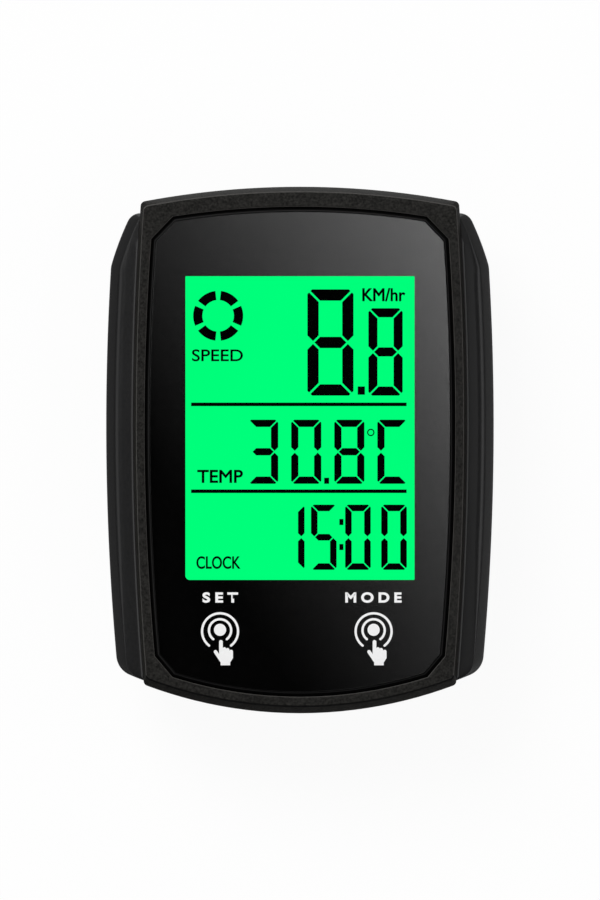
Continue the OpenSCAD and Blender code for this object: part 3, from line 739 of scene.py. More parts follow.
def dark_edged_plate(name):
    """A clear plate whose edge is painted near black as shade, with a thin grey line of painted highlight."""
    finish, wire = new_finish(name)
    bent = wire.node("ShaderNodeBsdfRefraction", {}, {"Color": WHITE, "Roughness": 0.0, "IOR": GLASS_IOR})
    camera_ray = wire.node("ShaderNodeLightPath", output="Is Camera Ray")
    clear = mixed(camera_ray, see_through(wire), bent)
    cloud = noise(wire, HAZE_GRAIN, detail=4)
    highlight_grey = blend(cloud, (32, 32, 32), (48, 48, 48))
    # the edge: matt, painted near black as shade, with the painted highlight's grey line
    edge = principled(wire, {
        "Base Color": blend(between(wire, *highlight_line), (6, 6, 6), highlight_grey),
        "Roughness": 0.6 + cloud * 0.2, "Specular IOR Level": 0.1})
    return use(finish, mixed(between(wire, *dark_edge_band), clear, edge))


lens_finish = dark_edged_plate("clear_lens")

# %% Lens
lens_gap = 0.22 * MM
lens_bevel = 0.35 * MM
lens_soft = 0.08 * MM
lens_path = soften([
    (lens_gap + 0.05 * MM, lens_low.z + 0.05 * MM, 0),
    (lens_gap, lens_low.z + lens_soft, 0),
    (lens_gap, lens_high.z - lens_bevel, lens_soft),
    (lens_gap + lens_bevel, lens_high.z, lens_soft),
    (lens_gap + lens_bevel + 0.1 * MM, lens_high.z, 0),
])
lens = loft("touch_lens", [opening_ring(*spot) for spot in lens_path])
hand_over(lens, lens_finish, "body", "clear_lens", "lens")

# %% [markdown]
# ## Black border and white prints
#
# Behind the lens lies a black film with the window cut out, and on it the key words and touch signs are
# printed in white. The film is a thin closed ring like the frame, with a thinner rim that reaches out over
# the adhesive tape. The prints lie on it as very thin slabs, in the hair's breadth under the lens.

# %% Film and print finishes
def coat(name, deep, tip, grain, gloss, shine, uneven=0.1):
    """A smooth printed or painted layer: two near tones, grain in clouds per metre, its roughness, its shine
    and how uneven the roughness is."""
    finish, wire = new_finish(name)
    cloud = noise(wire, grain, detail=3)
    return use(finish, principled(wire, {
        "Base Color": blend(cloud, deep, tip), "Roughness": gloss + (cloud - 0.5) * uneven,
        "Specular IOR Level": shine}))


black_print = coat("black_print", (0, 0, 0), (4, 4, 4), 900, 0.015, 1.0, 0.01)
white_print = coat("white_print", (246, 246, 246), (255, 255, 255), 2500, 0.6, 0.05)
segment_ink = coat("segment_ink", (0, 0, 0), (3, 4, 3), 1500, 0.6, 0.0)

# %% Black border
film_edge = 1.45 * MM
film_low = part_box("border_film")[0].z
film_top = lens_low.z + 0.02 * MM
film_rim_edge = lens_gap + lens_bevel
film_rim_low = lens_low.z + 0.004 * MM
border_rings = [opening_ring(film_edge, film_low), opening_ring(film_edge, film_rim_low),
                opening_ring(film_rim_edge, film_rim_low), opening_ring(film_rim_edge, film_top),
                window_ring(0, film_top), window_ring(0, film_low)]
border = loft("printed_border", border_rings, closed=True)
hand_over(border, black_print, "body", "black_print", "border_film")

# %% [markdown]
# Words start as text objects in Blender's own font. A text is turned into a mesh, stretched to the height and
# width that the print has, and given a little thickness. The font is thin and the key words are bold. The
# font's own outline offset crosses itself in a pointed letter, so the strokes are thickened afterwards, by
# moving the slab's sides out.

# %% Words
def fatten(piece, grow):
    """Moves a slab's sides out, each corner along the mitre of its two sides."""
    sides = {}
    for face in piece.data.polygons:
        if abs(face.normal.z) < 0.5:
            for index in face.vertices:
                sides.setdefault(index, []).append(face.normal.copy())
    for index, (one, other) in sides.items():
        piece.data.vertices[index].co += (one + other) * grow / (1 + one.dot(other))


def word(text, box, z, thick, grow, spacing=1.0):
    """A word as a thin slab that fills a box (left, right, low, high), with its lower face at z. Its strokes
    grow on each side."""
    left, right, low, high = box
    piece = added(bpy.ops.object.text_add)
    piece.data.body = text
    piece.data.space_character = spacing
    bpy.ops.object.convert(target="MESH")
    corners = np.array([v.co for v in piece.data.vertices])
    least, most = corners.min(0), corners.max(0)
    wide = (right - left - 2 * grow) / (most[0] - least[0])
    tall = (high - low - 2 * grow) / (most[1] - least[1])
    piece.scale = (wide, tall, 1)
    piece.location = (left + grow - least[0] * wide, low + grow - least[1] * tall, z)
    apply_place()
    with edit_mode():
        bpy.ops.mesh.select_all(action="SELECT")
        bpy.ops.mesh.extrude_region_move(TRANSFORM_OT_translate={"value": (0, 0, thick)})
    clean(piece)
    fatten(piece, grow)
    print("word", text, round((right - left) / MM, 2), "x", round((high - low) / MM, 2), "mm")
    return piece


print_thick = 0.02 * MM
key_low = -17.4 * MM
key_high = -16.2 * MM
key_grow = 0.067 * MM
KEY_SPACING = 1.55
key_words = {"SET": (-11.1 * MM, -7.05 * MM), "MODE": (5.16 * MM, 11.58 * MM)}
prints = [word(text, (*ends, key_low, key_high), film_top, print_thick, key_grow, KEY_SPACING)
          for text, ends in key_words.items()]

# %% [markdown]
# A touch sign is a dot with two open rings round it and a hand that points at it. Rings are flat strips
# carried round an arc. The hand is a design of its own: a palm with a wrist, a thumb, one straight finger and
# three folded ones, each a flat slab, at slightly different heights so that no two faces share a plane. Both
# keys carry the same sign, so it is made once and copied.

# %% Flat rounded strips
def strip(name, spine, width, z, thick, steps):
    """A flat strip with round ends. Its spine is a row of points, each with the angle that it heads to."""
    points = []
    for way in (spine, [(point, angle + 180) for point, angle in reversed(spine)]):
        last, facing = way[-1]
        corners = [(point, angle - 90) for point, angle in way]
        corners += [(last, facing - 90 + 180 * i / steps) for i in range(1, steps)]
        points += [point + width / 2 * heading(angle) for point, angle in corners]
    return loft(name, [lifted(points, z), lifted(points, z + thick)])


def capsule(name, start, end, width, z, thick, steps=10):
    """A straight strip from one point to another."""
    along = np.subtract(end, start)
    angle = math.degrees(math.atan2(along[1], along[0]))
    return strip(name, [(start, angle), (end, angle)], width, z, thick, steps)


# %% Touch signs
sign_stroke = 0.26 * MM
SIGN_GAP = 75
ring_angles = np.linspace(270 + SIGN_GAP / 2, 630 - SIGN_GAP / 2, 41)
sign_rings = [(2.05 * MM, 0), (1.265 * MM, 0.11 * MM)]
dot = (0, 0.17 * MM)
dot_radius = 0.69 * MM
finger_width = 0.42 * MM
thumb_width = 0.4 * MM
knuckle_low = -3 * MM
knuckles = np.array([(0.1, -1.2), (0.49, -2.02), (0.86, -2.11), (1.26, -2.31)]) * MM
thumb = np.array([(-0.52, -2.33), (0.15, -3.33)]) * MM
palm = np.array([(1.46, -2.9), (-0.1, -2.9), (0.06, -3.5), (0.06, -3.87), (1.15, -3.87), (1.15, -3.56),
                 (1.46, -3.06)]) * MM
slab_step = 0.001 * MM


def touch_sign():
    """A dot, two open rings and a pointing hand, printed about the middle of the rings."""
    strips = []
    for radius, y in sign_rings:
        spine = [((0, y) + radius * heading(angle), angle + 90) for angle in ring_angles]
        strips.append(strip("ring", spine, sign_stroke, film_top, print_thick, steps=8))
    strips.append(capsule("dot", dot, dot, 2 * dot_radius, film_top, print_thick, steps=24))
    bones = [(knuckle, (knuckle[0], knuckle_low), finger_width) for knuckle in knuckles]
    bones.append((*thumb, thumb_width))
    thick = print_thick
    for first, last, width in bones:
        thick -= slab_step
        strips.append(capsule("bone", first, last, width, film_top, thick))
    strips.append(loft("palm", [lifted(palm, film_top), lifted(palm, film_top + thick - slab_step)]))
    return join(strips)


set_sign_x = -9.1 * MM
mode_sign_x = 8.39 * MM
sign_y = -20.65 * MM
prints += spread(touch_sign(), [(set_sign_x, sign_y), (mode_sign_x, sign_y)])
hand_over(join(prints, "key_prints"), white_print, "body", "black_print")

# %% [markdown]
# ## Display
#
# The backlit display is the one thing here that gives its own light: an even green with dark segments. The
# green is Emission on the polariser's face, at a strength that renders as the colour is written. The segments
# are CAD tiles. Their captions are words like the key prints, on the same level as the tiles.

# %% Display
def lit_face(name, dim, bright):
    """An evenly lit display face."""
    finish, wire = new_finish(name)
    return use(finish, principled(wire, {
        "Base Color": blend(noise(wire, 900), (0, 4, 2), (0, 8, 4)), "Roughness": 0.6,
        "Specular IOR Level": 0.0, "Emission Strength": 1.0,
        "Emission Color": blend(noise(wire, 60, detail=1), dim, bright)}))


lit_display = lit_face("lit_display", (0, 253, 121), (0, 255, 124))
caption_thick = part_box("lcd_segments")[1].z - z_deck
# left, right, low and high edge of each word, and how far its strokes grow, in millimetres
caption_boxes = {
    "SPEED": (-12.3, -6.5, 10.1, 11.47, 0.023),
    "KM/hr": (7.1, 12.0, 16.93, 18.45, 0.045),
    "TEMP": (-11.7, -6.5, -3.75, -2.26, 0.042),
    "CLOCK": (-11.8, -6.8, -13.55, -12.1, 0.033),
}
captions = []
for text, numbers in caption_boxes.items():
    *box, grow = [number * MM for number in numbers]
    captions.append(word(text, box, z_deck, caption_thick, grow))
hand_over(join(captions, "display_captions"), segment_ink, "body", "segment_ink")
dress(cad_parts["lcd_segments"], segment_ink)
dress(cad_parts["front_polariser"], lit_display)

# %% [markdown]
# ## Side grips
#
# Each grip is a soft wing along the frame's side: a flat flank that leans out, a crease along its top, a
# rounded lower edge, and a low lip that rises to the frame. Level by level its outline is the same shape
# moved in, so it is skinned from the bottom level over the top to the lip. The left grip is the right one
# mirrored, with its faces turned outwards again.

# %% Grip outline
touch_gap = 0.03 * MM
grip_width = grip_high.x - half_width
grip_shoulder = np.array([20.8 * MM, 23.38 * MM])
SHOULDER_FACING = 20
shoulder_radius = 33 * MM
shoulder_middle = grip_shoulder - shoulder_radius * heading(SHOULDER_FACING)
grip_bottom_radius = bottom_radius - 0.36 * MM
low_round = 2.5 * MM
least_low_round = 0.4 * MM
side_round = 3 * MM
top_round = 1.6 * MM
least_top_round = 0.3 * MM
least_round = 0.03 * MM
frame_side = Bow(*right_side.centre, right_side.radius + touch_gap, hollow=True)
grip_edges = [
    Bow(*bottom_end.centre, grip_bottom_radius),
    Bow(side_x, side_y, side_radius + grip_width),
    Bow(*shoulder_middle, shoulder_radius),
    Straight(0, grip_high.y, 90),
    frame_side,
]
GRIP_EDGE_STEPS = [6, 40, 12, 4, 1]
GRIP_ROUND_STEPS = [10, 6, 10, 1, 1]
grip_guesses = np.array([(20, -24), (21.6, 20.8), (19.6, 26.5), (18.3, 27), (17.8, -26.2)]) * MM


def onto_frame(point, gap=0.0):
    """The spot next to a point that lies a gap from the frame's side, or the point if it is nearer."""
    return point - min(frame_side.past(point) + gap, 0) * frame_side.out(point)


def gathered(points):
    """A row of points with its far end, if it runs into the frame, gathered where it meets the frame."""
    depth = [frame_side.past(p) for p in points]
    inside = [i for i, deep in enumerate(depth) if deep > -touch_gap / 3]
    if not inside:
        return points
    first = inside[0]
    last = first - 1
    share = depth[last] / (depth[last] - depth[first])
    crossing = points[last] + share * (points[first] - points[last])
    return points[:first] + [crossing] * (len(points) - first)


def grip_ring(inset, z, gap=None, end_share=1.0):
    """The right grip's outline at one level, moved in along its side and by a share of that at its two ends.
    A gap draws it in to the frame."""
    ends = inset * end_share
    low = max(low_round - ends, least_low_round)
    top = max(top_round - ends, least_top_round)
    rounds = [low, side_round, top, least_round, least_round]
    points = outline(grip_edges, [ends, inset, inset, ends, 0], rounds, GRIP_EDGE_STEPS, GRIP_ROUND_STEPS,
                     grip_guesses)[:-2]
    half = len(points) // 2
    outer = gathered(points[:half][::-1])[::-1] + gathered(points[half:])
    inner = [onto_frame(p) for p in outer]
    if gap is not None:
        outer = [onto_frame(p, gap) for p in outer]
    return lifted(outer + inner[::-1], z)


print("grip outline:", len(grip_ring(0, grip_low.z)), "points")

# %% Grip levels
z_low = grip_low.z
z_high = grip_high.z
z_belly = z_part + 1.9 * MM
z_valley = z_high - 0.24 * MM
z_crease = z_valley - 0.05 * MM
grip_crease = 1.1 * MM
valley_inset = grip_crease + 0.8 * MM
lip_run = 0.15 * MM
CREASE_STEPS = 6
END_SHARE = 0.12
grip_path = soften([
    (0.9 * grip_width, z_low, 0),
    (0.72 * grip_width, z_low + 0.3 * MM, 0.3 * MM),
    (0.31 * grip_width, z_low + 1.7 * MM, 0.8 * MM),
    (0, z_belly - 2 * MM, 1.2 * MM),
    (0, z_belly, 0.8 * MM),
    (grip_crease, z_crease, 0.76 * MM),
    (valley_inset, z_valley, 0),
], steps=CREASE_STEPS)
crease_start = -CREASE_STEPS - 2
soft_y = np.array([-24, -11, 19, 25]) * MM
soft_share = [0.1, 1, 1, 0.1]


def creased(spot):
    """A ring of the crease, which is soft along the middle of the grip and sharper towards its ends."""
    soft = np.array(grip_ring(*spot, end_share=END_SHARE))
    sharp = np.array(grip_ring(grip_crease, z_crease, end_share=END_SHARE))
    share = np.interp(soft[:, 1], soft_y, soft_share)
    return [tuple(p) for p in sharp + share[:, None] * (soft - sharp)]


lip_curve = soften([(MM, z_valley, 0), (lip_run, z_valley, lip_run), (0, z_high, 0)])[1:]
grip_rings = [grip_ring(*grip_path[0], gap=0)]
grip_rings += [grip_ring(*spot) for spot in grip_path[:crease_start]]
grip_rings += [creased(spot) for spot in grip_path[crease_start:-1]]
grip_rings += [grip_ring(*grip_path[-1], end_share=END_SHARE)]
grip_rings += [grip_ring(valley_inset, z, gap, END_SHARE) for gap, z in lip_curve]
right_grip = loft("right_side_grip", grip_rings, ends=False)
print("grip skin:", len(grip_rings), "rings")

# %% Both grips
# the lip above this level carries a painted highlight
lip_highlight_low = z_valley + 0.05 * MM
grip_relief = 0.005 * MM


def grip_lip_highlight(tone):
    """A painted highlight: paler on the lip."""
    # painted highlight on the lip
    return blend(between(tone, lip_highlight_low, z_face), tone, (58, 58, 58))


grip_rubber = moulded("grip_rubber", (9, 9, 10), (15, 15, 16), SOFT_GRAIN, grip_relief, 0.34, 0.42,
                      grip_lip_highlight)
left_grip = copied(right_grip)
left_grip.name = left_grip.data.name = "left_side_grip"
bpy.ops.transform.mirror(constraint_axis=(True, False, False))
apply_place()
clean(left_grip)
hand_over(right_grip, grip_rubber, "body", "grip_rubber", "right_grip")
hand_over(left_grip, grip_rubber, "body", "grip_rubber", "left_grip")

# %% [markdown]
# ## Rear case
#
# The rear shell draws in towards its back in a soft curve at both ends. It is skinned like the frame, and
# then opened for the battery well and the four screws with Boolean cuts. The well and the round foot are one
# turned section, and the foot's four lugs are short arcs of a bevelled bar.

# %% Rear case shell
z_back = 3.4 * MM
z_floor = z_back + 1.5 * MM
part_step = 0.2 * MM
back_slope = 1.8 * MM
back_draw = 3.4 * MM
low_draw = 0.55 * back_draw
high_draw = part_step + 0.18 * back_draw
floor_draw = wall + back_slope
case_path = soften([
    (back_slope, back_draw, back_draw, z_back, 0),
    (0, low_draw, low_draw, z_back + 1.2 * MM, 0.8 * MM),
    (0, high_draw, high_draw, z_back + 3.4 * MM, 1.2 * MM),
    (0, part_step, part_step, z_part, 0),
    (wall, wall, wall, z_part, 0),
    (wall, wall, wall, z_floor + 2 * MM, 0.8 * MM),
    (floor_draw, floor_draw, floor_draw, z_floor, 0),
], steps=5)
rear_case = loft("moulded_rear_case", [frame_ring(*spot) for spot in case_path])


def drill(radius):
    """A round cutter that goes through the back."""
    return turned("cutter", [(radius, z_back - MM), (radius, z_floor + MM)], steps=48)


foot_radius = 15 * MM
cut(rear_case, drill(foot_radius - MM))
print("rear shell:", len(case_path), "rings, opened for the battery")

# %% Foot and battery well
def sector(name, inner, outer, low, high, start, span, soft=0.0, steps=14):
    """A bar with bevelled edges that follows an arc about the upright axis."""
    s = soft
    section = [(inner + s, low), (outer - s, low), (outer, low + s), (outer, high - s),
               (outer - s, high), (inner + s, high), (inner, high - s), (inner, low + s)]
    if not soft:
        section = section[0::2]
    arms = [heading(start + span * i / steps) for i in range(steps + 1)]
    return loft(name, [[(*(r * arm), z) for r, z in section] for arm in arms])


z_flange = cover_low.z + 1.5 * MM
z_seat = z_flange + touch_gap
z_lug = z_flange + 0.8 * MM
z_cover_top = cover_high.z
z_ceiling = cell_high.z + 0.75 * MM
z_roof = z_ceiling + 0.8 * MM
z_shoulder = z_floor - 0.02 * MM
flange_bore = 11.8 * MM
spigot_bore = 10.7 * MM
well_radius = 10.3 * MM
neck_radius = 13.2 * MM
foot_soft = 0.25 * MM
foot = turned("foot", [
    (well_radius, z_ceiling), (well_radius, cell_low.z), (spigot_bore, cell_low.z), (spigot_bore, z_seat),
    (flange_bore, z_seat), (flange_bore, foot_soft), (flange_bore + foot_soft, 0),
    (foot_radius - foot_soft, 0), (foot_radius, foot_soft), (foot_radius, z_shoulder),
    (neck_radius, z_shoulder), (neck_radius, z_roof)])
FOOT_LUG_SPAN = 36
FOOT_LUG_PLACES = (45, 135, 225, 315)
foot_lug = sector("lug", foot_radius - 0.5 * MM, foot_radius + 1.8 * MM, 0, 1.5 * MM,
                  -FOOT_LUG_SPAN / 2, FOOT_LUG_SPAN, 0.2 * MM)
foot_lugs = spun(foot_lug, FOOT_LUG_PLACES)
print("foot", round(2 * foot_radius / MM, 1), "mm across, with", len(foot_lugs), "lugs")

# %% [markdown]
# The cover's lugs go in through three notches and turn behind the foot's rim, so the foot has a pocket for
# each: a notch as wide as a lug, and above it the room for the turn. Each screw stands in a stepped well.

# %% Pockets that the cover's lugs turn in
LUG_PLACES = (90, 210, 330)
LUG_SPAN = 24
LUG_PLAY = 1
COVER_TURN = 60
lug_radius = 11.45 * MM
pocket_radius = lug_radius + 0.15 * MM
pocket_start = -(LUG_SPAN + LUG_PLAY) / 2 - COVER_TURN
notch_span = LUG_SPAN + LUG_PLAY
for low, high, span in ((z_lug - touch_gap, z_cover_top + touch_gap, COVER_TURN + notch_span),
                        (z_flange - 0.01 * MM, z_lug, notch_span)):
    pocket = sector("cutter", well_radius, pocket_radius, low, high, pocket_start, span)
    cut(foot, join(spun(pocket, LUG_PLACES)))
print("foot with pockets:", len(foot.data.polygons), "faces")

# %% Screw wells
bore_radius = screw_head_radius + 0.15 * MM
bore_room = 0.02 * MM
z_head = screws_low.z + 1.3 * MM
z_rim = z_back + 0.01 * MM
tube_radius = 2.4 * MM
shank_radius = 1.15 * MM
cut(rear_case, join(spread(drill(bore_radius + bore_room), screw_places)))
well = turned("well", [
    (shank_radius, z_head), (shank_radius, z_part), (tube_radius, z_part), (tube_radius, z_rim),
    (bore_radius, z_rim), (bore_radius, z_head)], steps=48, closed=True)
join([rear_case, foot] + foot_lugs + spread(well, screw_places))
hand_over(rear_case, case_plastic, "body", "shell_plastic", "rear_case")

# %% [markdown]
# ## Battery cover
#
# The cover is a turned disc with a groove for its seal, three lugs behind its flange and a slot for a coin.
# The slot's cutter has round ends, as a milling tool leaves them.

# %% Battery cover
flange_radius = cover_high.y
spigot_radius = spigot_bore - 0.15 * MM
hollow_radius = spigot_radius - 1.4 * MM
groove_radius = flange_radius - 0.55 * MM
groove_low = cover_low.z + 0.4 * MM
groove_high = cover_low.z + 1.1 * MM
edge_soft = 0.18 * MM
cover = turned("coin_slot_cover", [
    (flange_radius - edge_soft, cover_low.z), (flange_radius, cover_low.z + edge_soft),
    (flange_radius, groove_low), (groove_radius, groove_low), (groove_radius, groove_high),
    (flange_radius, groove_high), (flange_radius, z_flange), (spigot_radius, z_flange),
    (spigot_radius, z_cover_top), (hollow_radius, z_cover_top), (hollow_radius, z_flange + 0.5 * MM)])
slot_half = 6.1 * MM
slot_width = 1.8 * MM
slot_deep = 0.9 * MM
cut(cover, capsule("cutter", (-slot_half, 0), (slot_half, 0), slot_width, cover_low.z - MM, MM + slot_deep))
cover_lug = sector("lug", spigot_radius - 0.5 * MM, lug_radius, z_lug, z_cover_top - touch_gap,
                   -LUG_SPAN / 2, LUG_SPAN, 0.1 * MM)
join([cover] + spun(cover_lug, LUG_PLACES))
hand_over(cover, cover_plastic, "cover", "cover_plastic", "battery_cover")

# %% [markdown]
# ## Metal
#
# Metals in here are steel screws, springs, contacts and the cell's can. One recipe serves all: a metallic
# surface whose brightness and gloss follow fine streaks along one direction.

# %% Metal finish and screws
STREAK_GRAIN = 1500
streak_relief = 0.004 * MM


def metal(name, deep, tip, gloss, stretch=(1, 1, 1)):
    """Bare metal with fine streaks: two tones and its roughness. The streaks are long where the stretch is
    small."""
    finish, wire = new_finish(name)
    streak = noise(wire, STREAK_GRAIN, 3, stretch)
    return use(finish, principled(wire, {
        "Base Color": blend(streak, deep, tip), "Metallic": 1.0,
        "Roughness": gloss + (streak - 0.5) * 0.2, "Normal": bump(streak, streak_relief)}))


screw_steel = metal("screw_steel", (92, 92, 94), (150, 150, 152), 0.32)
# radius and height of the screw's head and shank, and half widths of its cross, in millimetres
SCREW_SECTION = [(0.35, 0), (0.9, 0.06), (1.35, 0.2), (1.65, 0.45), (1.75, 0.75), (1.75, 1.3), (1.0, 1.3),
                 (1.0, 8.8), (0.4, 9.3)]
CROSS = ((0.24, 1.05), (1.05, 0.24))
cross_deep = 0.75 * MM


def pan_screw(low):
    """A pan-head screw with its head down at a level and a cross recess in it."""
    piece = turned("screw", [(r * MM, low + z * MM) for r, z in SCREW_SECTION], steps=40)
    for across, along in CROSS:
        points = np.array([(-across, -along), (across, -along), (across, along), (-across, along)]) * MM
        cut(piece, loft("cutter", [lifted(points, low - MM), lifted(points, low + cross_deep)]))
    return piece


screws = join(spread(pan_screw(screws_low.z), screw_places), "pan_head_screws")
hand_over(screws, screw_steel, "body", "screw_steel", "case_screws")

# %% [markdown]
# ## Pieces that keep their CAD shape
#
# Everything between the display and the battery stays as CAD made it: plain plates, blocks and rings. Each
# gets the finish of its own stuff. Moulded and rubber parts use the plastic recipe, and metals the one above.
# The display's two glasses are see-through with a mirror on top, weighed by Fresnel.

# %% Patterned finishes
band_relief = 0.03 * MM
TRACK_WIDTH = 0.09


def clear_glass(name, tint):
    """Thin clear glass with a trace of haze, which mirrors on its outer side."""
    finish, wire = new_finish(name)
    haze = noise(wire, HAZE_GRAIN, detail=4) * 0.04 + 0.98
    outside = 1 - wire.node("ShaderNodeNewGeometry", output="Backfacing")
    shine = wire.node("ShaderNodeFresnel", {}, {"IOR": GLASS_IOR}) * haze * outside
    mirror = wire.node("ShaderNodeBsdfAnisotropic", {}, {"Roughness": 0.0})
    return use(finish, mixed(shine, see_through(wire, tint), mirror))


def banded(name, deep, tip, pitch, gloss, metallic):
    """Fine bands from left to right, as in a winding or a contact strip: two tones, the bands' pitch in
    metres, the roughness and how metallic they are."""
    finish, wire = new_finish(name)
    turns = axis(wire, "X") * (2 * math.pi / pitch)
    wave = turns.math("SINE") * 0.5 + 0.5
    return use(finish, principled(wire, {
        "Base Color": blend(wave, deep, tip), "Roughness": gloss + noise(wire, 700) * 0.1,
        "Metallic": metallic, "Normal": bump(wave, band_relief)}))


def laminate(name):
    """Green board with paler copper tracks under the mask and glass cloth below."""
    finish, wire = new_finish(name)
    cells = {"Vector": place(wire, (1, 0.25, 1)), "Scale": 420.0}
    tracks = wire.node("ShaderNodeTexVoronoi", {"feature": "DISTANCE_TO_EDGE"}, cells)
    cloth = noise(wire, 2600)
    tone = blend(tracks < TRACK_WIDTH, (10, 62, 34), (38, 104, 58))
    return use(finish, principled(wire, {
        "Base Color": blend(cloth * 0.3, tone, (8, 48, 28)), "Roughness": 0.32 + cloth * 0.12}))


# %% Finishes of the inner pieces
smooth_relief = 0.01 * MM
glass = clear_glass("display_glass", (0.93, 0.98, 0.95, 1))
spring_steel = metal("spring_steel", (150, 148, 140), (196, 192, 182), 0.25)
# each recipe takes a name, two tones and then the numbers that its own note lists
contact_metal = metal("contact_metal", (170, 150, 96), (214, 194, 136), 0.24, (1, 0.1, 1))
inner_finishes = {
    "lens_tape": coat("black_tape", (2, 2, 2), (7, 7, 7), 3000, 0.7, 0.05),
    "front_glass": glass,
    "rear_glass": glass,
    "rear_polariser": coat("polariser_film", (96, 104, 98), (108, 116, 108), 800, 0.3, 0.4),
    "light_guide": coat("light_guide_plastic", (206, 232, 216), (226, 246, 234), 900, 0.2, 0.5),
    "reflector": coat("white_film", (232, 232, 230), (246, 246, 244), 900, 0.4, 0.4),
    "backlight_tray": moulded("white_plastic", (214, 214, 210), (232, 232, 228), 2200, smooth_relief,
                              0.45, 0.4),
    "backlight_leds": coat("led_resin", (232, 226, 160), (246, 240, 186), 3000, 0.25, 0.5),
    "zebra_strip": banded("contact_rubber", (24, 24, 26), (150, 150, 148), 0.25 * MM, 0.55, 0.0),
    "circuit_board": laminate("board_laminate"),
    "set_touch_spring": spring_steel,
    "mode_touch_spring": spring_steel,
    "controller": coat("black_resin", (10, 10, 11), (22, 22, 23), 1400, 0.25, 0.5),
    "clock_crystal": metal("can_metal", (150, 152, 156), (198, 200, 204), 0.28, (0.1, 1, 1)),
    "receiver_core": moulded("ferrite", (44, 44, 48), (66, 66, 70), 3800, 0.012 * MM, 0.6, 0.3),
    "receiver_winding": banded("copper_winding", (104, 52, 22), (196, 116, 58), 0.18 * MM, 0.3, 1.0),
    "temperature_sensor": coat("sensor_bead", (78, 44, 22), (110, 66, 34), 1600, 0.3, 0.5),
    "chip_parts": banded("chip_ceramic", (120, 96, 66), (206, 200, 190), 1.3 * MM, 0.4, 0.0),
    "board_screws": screw_steel,
    "case_seal": moulded("black_rubber", (20, 20, 20), (34, 34, 34), 2400, smooth_relief, 0.6, 0.3),
    "positive_contact": contact_metal,
    "negative_contact": contact_metal,
    "coin_cell": metal("cell_steel", (166, 168, 170), (212, 214, 216), 0.26, (0.08, 1, 1)),
    "cover_seal": moulded("seal_rubber", (120, 30, 26), (150, 44, 36), 2400, smooth_relief, 0.5, 0.3),
}
for node, finish in inner_finishes.items():
    dress(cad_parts[node], finish)
print("CAD nodes with a finish of their own:", len(inner_finishes) + 2)

# %% [markdown]
# ## Studio
#
# The photo is a plain catalogue shot: white ground, light from the top left. A wide floor and the world are
# white to the camera and in reflections, and light the object at a plain level. The floor is a light table:
# it can be seen through from below and lets a lamp shine up through it, so the rear can be looked at too.

# %% Floor and world
FLOOR_RADIUS = 4
FLOOR_GAP = 0.02 * MM
SHADOW_REACH = 0.3
SHADOW_SHARE = 0.07
WORLD_LEVEL = 0.35


def ray(wire, kind):
    """1 for rays of one kind, and 0 for others."""
    return wire.node("ShaderNodeLightPath", output=f"Is {kind} Ray")


def seen(wire):
    """1 for rays from the camera, in mirrors and through glass, and 0 for rays that only carry light."""
    return ray(wire, "Camera").math("MAXIMUM", ray(wire, "Glossy")).math("MAXIMUM", ray(wire, "Transmission"))


def glow(wire, tone=WHITE):
    """Light of its own, at the strength that its colour says."""
    return wire.node("ShaderNodeEmission", {}, {"Color": tone, "Strength": 1.0})


floor_finish, wire = new_finish("pale_floor")
far = (reach_from(wire) / SHADOW_REACH).clip(0.0, 1.0)
paper = wire.node("ShaderNodeBsdfDiffuse", {}, {"Color": colour(250, 250, 250)})
table_top = mixed(seen(wire) * (far * SHADOW_SHARE + (1 - SHADOW_SHARE)), paper, glow(wire))
below = wire.node("ShaderNodeNewGeometry", output="Backfacing")
use(floor_finish, mixed(below.math("MAXIMUM", ray(wire, "Shadow")), table_top, see_through(wire)))

floor = added(bpy.ops.mesh.primitive_circle_add, vertices=64, radius=FLOOR_RADIUS, fill_type="NGON",
              location=(0, 0, -FLOOR_GAP))
floor.name = "studio_floor"
dress(floor, floor_finish)

world = bpy.data.worlds.new("studio")
bpy.context.scene.world = world
world.use_nodes = True
world.node_tree.nodes.clear()
sky = Wire(world.node_tree)
level = seen(sky) * (1 - WORLD_LEVEL) + WORLD_LEVEL
air = sky.node("ShaderNodeBackground", {}, {"Color": WHITE, "Strength": level})
air.node("ShaderNodeOutputWorld", {}, {"Surface": air})
print("the world lights at", WORLD_LEVEL, "and shows as white")

# %% [markdown]
# Black plastic shows what it mirrors, so photographers put dark cards round it. One hangs over the face and
# reaches far to the front. It is graded: its image in the black border is the soft sheen that runs from the
# top right to nothing at the bottom left, and the display is matt, so that it stays clear of it. A second
# card lies on the table round the object, and keeps its flanks and its lower edge dark. It is grey behind the
# upper edge, which is the lit one. Both cards are seen only in reflections.

# %% Cards that are seen only in reflections
def card(name, width, low_y, high_y, z, finish):
    """A flat card for reflections, in the middle from left to right."""
    middle = (0, (low_y + high_y) / 2, z)
    made = added(bpy.ops.mesh.primitive_plane_add, size=1, location=middle)
    made.scale = (width, high_y - low_y, 1)
    apply_place()
    made.name = name
    made.visible_camera = False
    made.visible_diffuse = False
    made.visible_transmission = False
    made.visible_shadow = False
    finish.cycles.emission_sampling = "NONE"
    dress(made, finish)
    print(name, round(width, 2), "x", round(high_y - low_y, 2), "m")


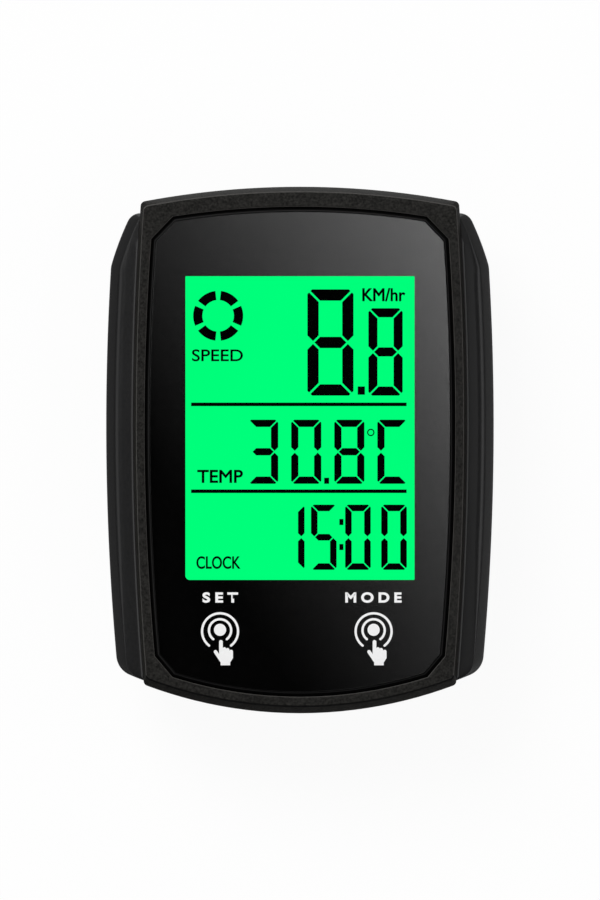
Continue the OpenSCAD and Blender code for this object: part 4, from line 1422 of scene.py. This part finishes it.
# %% Dark card over the face
CAMERA_HEIGHT = 2.0
CARD_HEIGHT = 0.3
CARD_WIDTH = 0.8
CARD_FRONT = -1.2
CARD_REAR = 0.35
CARD_LEVEL = 0.15
SHEEN_ACROSS = 2.05
SHEEN_UP = 1.3
SHEEN_MIDDLE = 35.8
SHEEN_MOST = 110.0
SHEEN_REACH = 32 * MM
SHEEN_FADE = 40 * MM
FACE_MIRROR = 0.08
card_scale = 1 + CARD_HEIGHT / CAMERA_HEIGHT
card_finish, wire = new_finish("dark_card")
card_x = axis(wire, "X") / (card_scale * MM)
card_y = axis(wire, "Y") / (card_scale * MM)
shown = (card_x * SHEEN_ACROSS + card_y * SHEEN_UP + SHEEN_MIDDLE).clip(0.0, SHEEN_MOST) / 255
beside = ((reach_from(wire) / card_scale - SHEEN_REACH) / SHEEN_FADE).clip(0.0, 1.0)
tone = linear(shown) / FACE_MIRROR * (1 - beside) + CARD_LEVEL * beside
use(card_finish, glow(wire, tone))
card("dark_card", CARD_WIDTH, CARD_FRONT, CARD_REAR, z_face + CARD_HEIGHT, card_finish)

# %% Black mat on the table
MAT_REACH = 0.3
MAT_LEVEL = 0.105
MAT_FRONT_LEVEL = 0.04
MAT_REAR_LEVEL = 0.5
lit_edge = half_length - 2 * MM
lit_half = 20 * MM
mat_finish, wire = new_finish("black_mat")
beside = axis(wire, "X").math("ABSOLUTE")
along = axis(wire, "Y")
under = (beside < half_width) * (along.math("ABSOLUTE") < half_length)
rear = (1 - (along < lit_edge)) * (beside < lit_half)
front = along < -half_length
tone = MAT_LEVEL + rear * (MAT_REAR_LEVEL - MAT_LEVEL) + front * (MAT_FRONT_LEVEL - MAT_LEVEL)
use(mat_finish, mixed(under, glow(wire, tone), see_through(wire)))
card("black_mat", 2 * MAT_REACH, -MAT_REACH, MAT_REACH, -FLOOR_GAP / 2, mat_finish)

# %% Lamps
def lamp(name, spot, power, size):
    """A square soft lamp that looks at the middle of the object."""
    made = added(bpy.ops.object.light_add, type="AREA", location=spot)
    made.name = name
    made.data.energy = power
    made.data.size = size
    made.visible_camera = False
    made.rotation_mode = "QUATERNION"
    made.rotation_quaternion = (-made.location).to_track_quat("-Z", "Y")
    print(name, power, "W")


lamp("key_lamp", (-0.35, 0.55, 0.75), power=6.8, size=0.5)
lamp("fill_lamp", (0.6, -0.1, 0.6), power=0.9, size=0.6)
lamp("table_lamp", (0.2, -0.2, -0.7), power=5.5, size=0.7)

# %% [markdown]
# ## Camera
#
# The face is seen square on and without visible perspective, so the camera stands far off with a long lens.
# The lens length follows from the height that the picture covers at the face.

# %% Camera
PICTURE_HEIGHT = 102.45 * MM
SENSOR = 36.0
camera_spot = (0.005 * MM, 0.0, z_face + CAMERA_HEIGHT)
camera = added(bpy.ops.object.camera_add, location=camera_spot, rotation=(0, 0, 0))
camera.data.sensor_width = SENSOR
camera.data.lens = SENSOR * CAMERA_HEIGHT / PICTURE_HEIGHT
bpy.context.scene.camera = camera
bpy.context.scene.view_settings.view_transform = "Standard"
print("lens", round(camera.data.lens), "mm")
